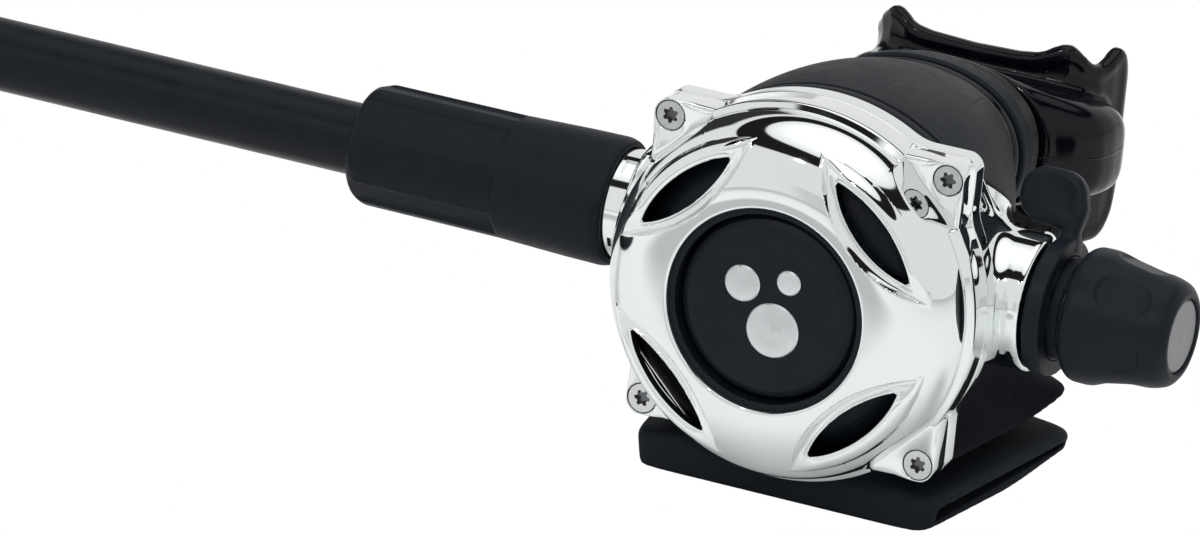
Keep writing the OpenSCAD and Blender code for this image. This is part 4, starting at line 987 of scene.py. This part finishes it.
def hose_rubber():
    """Woven-faced rubber: a shallow lengthwise rib and scuffs."""
    g = grained("hose_rubber", (0.004, 0.006, 0.009), 0.34, 1100, 0.03, 0.15)
    g.bump(g.noise(260, 3, (0.25, 1, 1)), 0.05, 0.5)
    return g.mat


def gloss_silicone():
    """Glossy moulding with a slight orange peel, dust and a parting line."""
    g = Graph("gloss_silicone", (0.0014, 0.002, 0.0036), 0.14, specular=0.22)
    g.rough(g.noise(120, 4), 0.09, 0.18)
    g.tint(g.noise(90, 3), (0.001, 0.0016, 0.003), (0.002, 0.0028, 0.0045))
    g.bump(g.noise(300, 2), 0.03, 0.25)
    g.bump(g.noise(2600, 2), 0.004, 0.5)
    parting = 0.04735
    off = g.math("ABSOLUTE", g.math("-", g.axis(2), parting))
    g.bump(g.remap(off, 0.00004, 0.00022, 1.0, 0.0, smooth=True), 0.16, 0.8)
    return g.mat


def gloss_plastic():
    """Polished plastic with faint smears and a fine tooth."""
    g = Graph("gloss_plastic", (0.003, 0.0034, 0.0042), 0.14, specular=0.3)
    g.rough(g.noise(150, 4), 0.1, 0.2)
    g.tint(g.noise(200, 3), (0.0025, 0.0028, 0.0036), (0.0045, 0.005, 0.006))
    g.bump(g.noise(1800, 2), 0.006, 0.4)
    return g.mat


def sleeve_plastic():
    """Fine leathery grain, smoother on the shoulder, with the engraved edge between the two."""
    g = grained("sleeve_plastic", (0.0095, 0.0118, 0.0145), 0.52, 1300, 0.05, 0.14)
    side = g.math("ABSOLUTE", g.axis(0))
    # the edge runs where |x| + 0.18 y is 17.5 mm
    at = g.math("+", side, g.math("*", g.axis(1), 0.18))
    line = g.math("ABSOLUTE", g.math("-", at, 0.0175))
    g.bump(g.remap(line, 0.0001, 0.0004, smooth=True), 0.12, 0.7)
    mask = g.remap(at, 0.017, 0.018, 1.0, 0.25)
    collar = g.remap(g.axis(1), -0.0056, -0.0054, 0.1, 1.0)
    g.bump(g.math("*", g.cells(900.0), g.math("*", mask, collar)), 0.07, 0.8)
    return g.mat


def satin_metal(name, color, rough):
    """Fine turned or brushed lines, with patches that are a little brighter."""
    g = Graph(name, color, rough, 1.0)
    g.rough(g.noise(400, 4), rough - 0.05, rough + 0.1)
    g.tint(g.noise(250, 4), tuple(c * 0.9 for c in color), tuple(min(1, c * 1.06) for c in color))
    g.bump(g.noise(1500, 2, (0.05, 1, 1)), 0.006, 0.6)
    return g


def screw_steel():
    """Stainless steel, with painted shade darkening the inside of the sockets of the four cover screws."""
    steel = (0.6, 0.605, 0.61)
    g = satin_metal("stainless_steel", steel, 0.24)
    # painted shade: a mask of the inside of each socket, which the tint darkens
    u = g.math("-", g.math("ABSOLUTE", g.axis(0)), SCREW_HALF * MM)
    w = g.math("-", g.math("ABSOLUTE", g.math("-", g.axis(2), CASE_AT[2] * MM)), SCREW_HALF * MM)
    away = g.math("SQRT", g.math("+", g.math("*", u, u), g.math("*", w, w)))
    socket_shade = g.remap(away, 0.0015, 0.0016, 1.0, 0.0)
    for a, b in ((-0.01778, -0.0172), (-0.0162, -0.0163)):
        socket_shade = g.math("*", socket_shade, g.remap(g.axis(1), a, b))
    g.tint(socket_shade, steel, (0.13, 0.135, 0.14), 0.0, 1.0)
    return g.mat


MATS = {
    "chrome": chrome_plate(),
    "dark_plastic": grained("moulded_plastic", (0.0062, 0.009, 0.0132), 0.42, 1700, 0.02, 0.13).mat,
    "sleeve": sleeve_plastic(),
    "gloss_black": gloss_plastic(),
    "rubber": satin_rubber(),
    "tee": tee_rubber(),
    "hose": hose_rubber(),
    "silicone": gloss_silicone(),
    "grey_plastic": grained("grey_plastic", (0.16, 0.165, 0.17), 0.4, 2200, 0.012, 0.5).mat,
    "silver": satin_metal("satin_silver", (0.66, 0.67, 0.68), 0.3).mat,
    "steel": screw_steel(),
    "brass": satin_metal("machined_brass", (0.72, 0.53, 0.26), 0.26).mat,
    "white_plastic": grained("acetal", (0.74, 0.74, 0.72), 0.42, 2000, 0.01, 0.5).mat,
}


def put(obj, mat):
    """The material as the object's only one."""
    obj.data.materials.clear()
    obj.data.materials.append(mat)


for part in frame["record"]["subparts"]:
    for own in frame["nodes"][part["node"]].material_slots:
        own.material = MATS[part["material_slot"]]
put(hose, MATS["hose"])
# each piece, its material and the CAD bodies it stands for
for piece, mat, *nodes in (
    (cover, "chrome", "front_cover"),
    *((ear, "chrome") for ear in ears),
    (flange, "chrome"),
    (body, "chrome", "case"),
    (sleeve, "sleeve", "body_sleeve"),
    (gloss, "gloss_black", "gloss_ring"),
    (matte, "dark_plastic", "matte_ring"),
    (clamp, "gloss_black", "mouthpiece_clamp"),
    (mouthpiece, "silicone", "mouthpiece"),
    (diaphragm, "silicone", "diaphragm"),
    (exhaust_valve, "silicone", "exhaust_valve"),
    (return_spring, "steel", "purge_spring"),
    (gap_ring, "rubber"),
    (tee, "tee", "exhaust_tee"),
    (guard, "rubber", "hose_protector"),
):
    put(piece, MATS[mat])
    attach(piece, "root")
    {"sleeve": "dark_plastic", "tee": "rubber"}.get(mat, mat)
    if nodes:
        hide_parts(*nodes)
for piece, part, who in ((lever, "venturi_lever", "venturi"), (knob, "adjustment_knob", "knob")):
    put(piece, MATS["dark_plastic"])
    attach(piece, who)
    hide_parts(part)


# ------ stage

# azimuth and elevation in degrees, softness of each, and the share of the light taken away there
STUDIO = [
    ((-181, 181), (44, 57), 0.5, 0.008, 0.985),
    ((-16, 16), (-2, 12), 3.0, 0.02, 0.2),
    ((-150, -112), (-2, 38), 3.0, 0.03, 0.96),
]


def make_floor():
    """Pale paper with painted shade, a little darker under the object, that the camera sees as plain white."""
    size = 40.0
    corners = [(-size, -size, 0), (size, -size, 0), (size, size, 0), (-size, size, 0)]
    floor = mesh_object("floor", corners, [(0, 1, 2, 3)], smooth=False)
    g = Graph("floor_paper", (0.86, 0.86, 0.86), 0.95, specular=0.1)
    # distance from the object's middle, in ovals that reach 1 at 125 mm and 91 mm
    near = g.node("ShaderNodeVectorMath", {0: g.coord, 1: (-0.075, -0.2, 0)}, operation="SUBTRACT").outputs[0]
    near = g.node("ShaderNodeVectorMath", {0: near, 1: (8.0, 11.0, 0)}, operation="MULTIPLY").outputs[0]
    far = g.node("ShaderNodeVectorMath", {0: near}, operation="LENGTH").outputs["Value"]
    # painted shade: the paper is darkened within the ovals round the object, with a faint random tone
    shade = g.math("*", g.remap(far, 0.55, 1.25, smooth=True), g.remap(g.noise(8, 3), 0.3, 0.7, 0.98, 1.0))
    g.tint(shade, (0.45, 0.46, 0.465), (0.8, 0.81, 0.81), 0.0, 1.0)
    seen = g.node("ShaderNodeLightPath").outputs["Is Camera Ray"]
    glow = g.node("ShaderNodeEmission", {"Color": (1, 1, 1, 1), "Strength": 1.0}).outputs[0]
    mix = g.node("ShaderNodeMixShader", {0: seen, 1: g.bsdf.outputs[0], 2: glow}).outputs[0]
    out = next(n for n in g.nt.nodes if n.type == "OUTPUT_MATERIAL")
    g.nt.links.new(mix, out.inputs["Surface"])
    put(floor, g.mat)


def make_world():
    """White studio, white to the camera: brighter overhead, a dark gap round that, and a dark flag."""
    world = bpy.data.worlds.new("studio")
    bpy.context.scene.world = world
    world.use_nodes = True
    w = Tree(world.node_tree)

    def window(value, lo, hi, soft):
        """1 between lo and hi, falling to 0 over soft on each side."""
        up = w.remap(value, lo - soft, lo + soft, smooth=True)
        return w.math("*", up, w.remap(value, hi + soft, hi - soft, smooth=True))

    way = w.node("ShaderNodeTexCoord").outputs["Generated"]
    x, y, z = w.node("ShaderNodeSeparateXYZ", {0: way}).outputs
    turn = w.math("*", w.math("ARCTAN2", x, w.math("*", y, -1.0)), 180 / math.pi)
    level = w.remap(z, 0.8, 0.97, 0.88, 1.35, smooth=True)
    for azimuth, elevation, soft_turn, soft_z, depth in STUDIO:
        lo, hi = (math.sin(math.radians(v)) for v in elevation)
        mask = w.math("*", window(turn, *azimuth, soft_turn), window(z, lo, hi, soft_z))
        level = w.math("*", level, w.math("-", 1.0, w.math("*", mask, depth)))
    seen = w.node("ShaderNodeLightPath").outputs["Is Camera Ray"]
    light = w.nt.nodes["Background"].inputs
    w.nt.links.new(w.math("MAXIMUM", level, seen), light["Strength"])
    light["Color"].default_value = (1, 1, 1, 1)


def soft_light(name, at, size, watts, glossy=True):
    """Round lamp at a point, turned to the object; where glossy is false no reflection shows it."""
    data = bpy.data.lights.new(name, "AREA")
    data.shape, data.size, data.energy = "DISK", size, watts
    obj = add_object(name, data)
    back = np.array(at, float) - (0, 0, 0.04)
    obj.location = at
    obj.rotation_euler = Vector(back).to_track_quat("Z", "Y").to_euler()
    obj.visible_glossy = glossy


soft_light("softbox_above", (-0.35, 0.25, 1.3), 0.7, 9.0, glossy=False)
soft_light("lamp_left", (-0.3, -0.9, 0.9), 0.05, 1.5)
soft_light("lamp_right", (0.25, -0.9, 0.95), 0.05, 1.5)
make_floor()
make_world()
bpy.context.scene.view_settings.view_transform = "Standard"
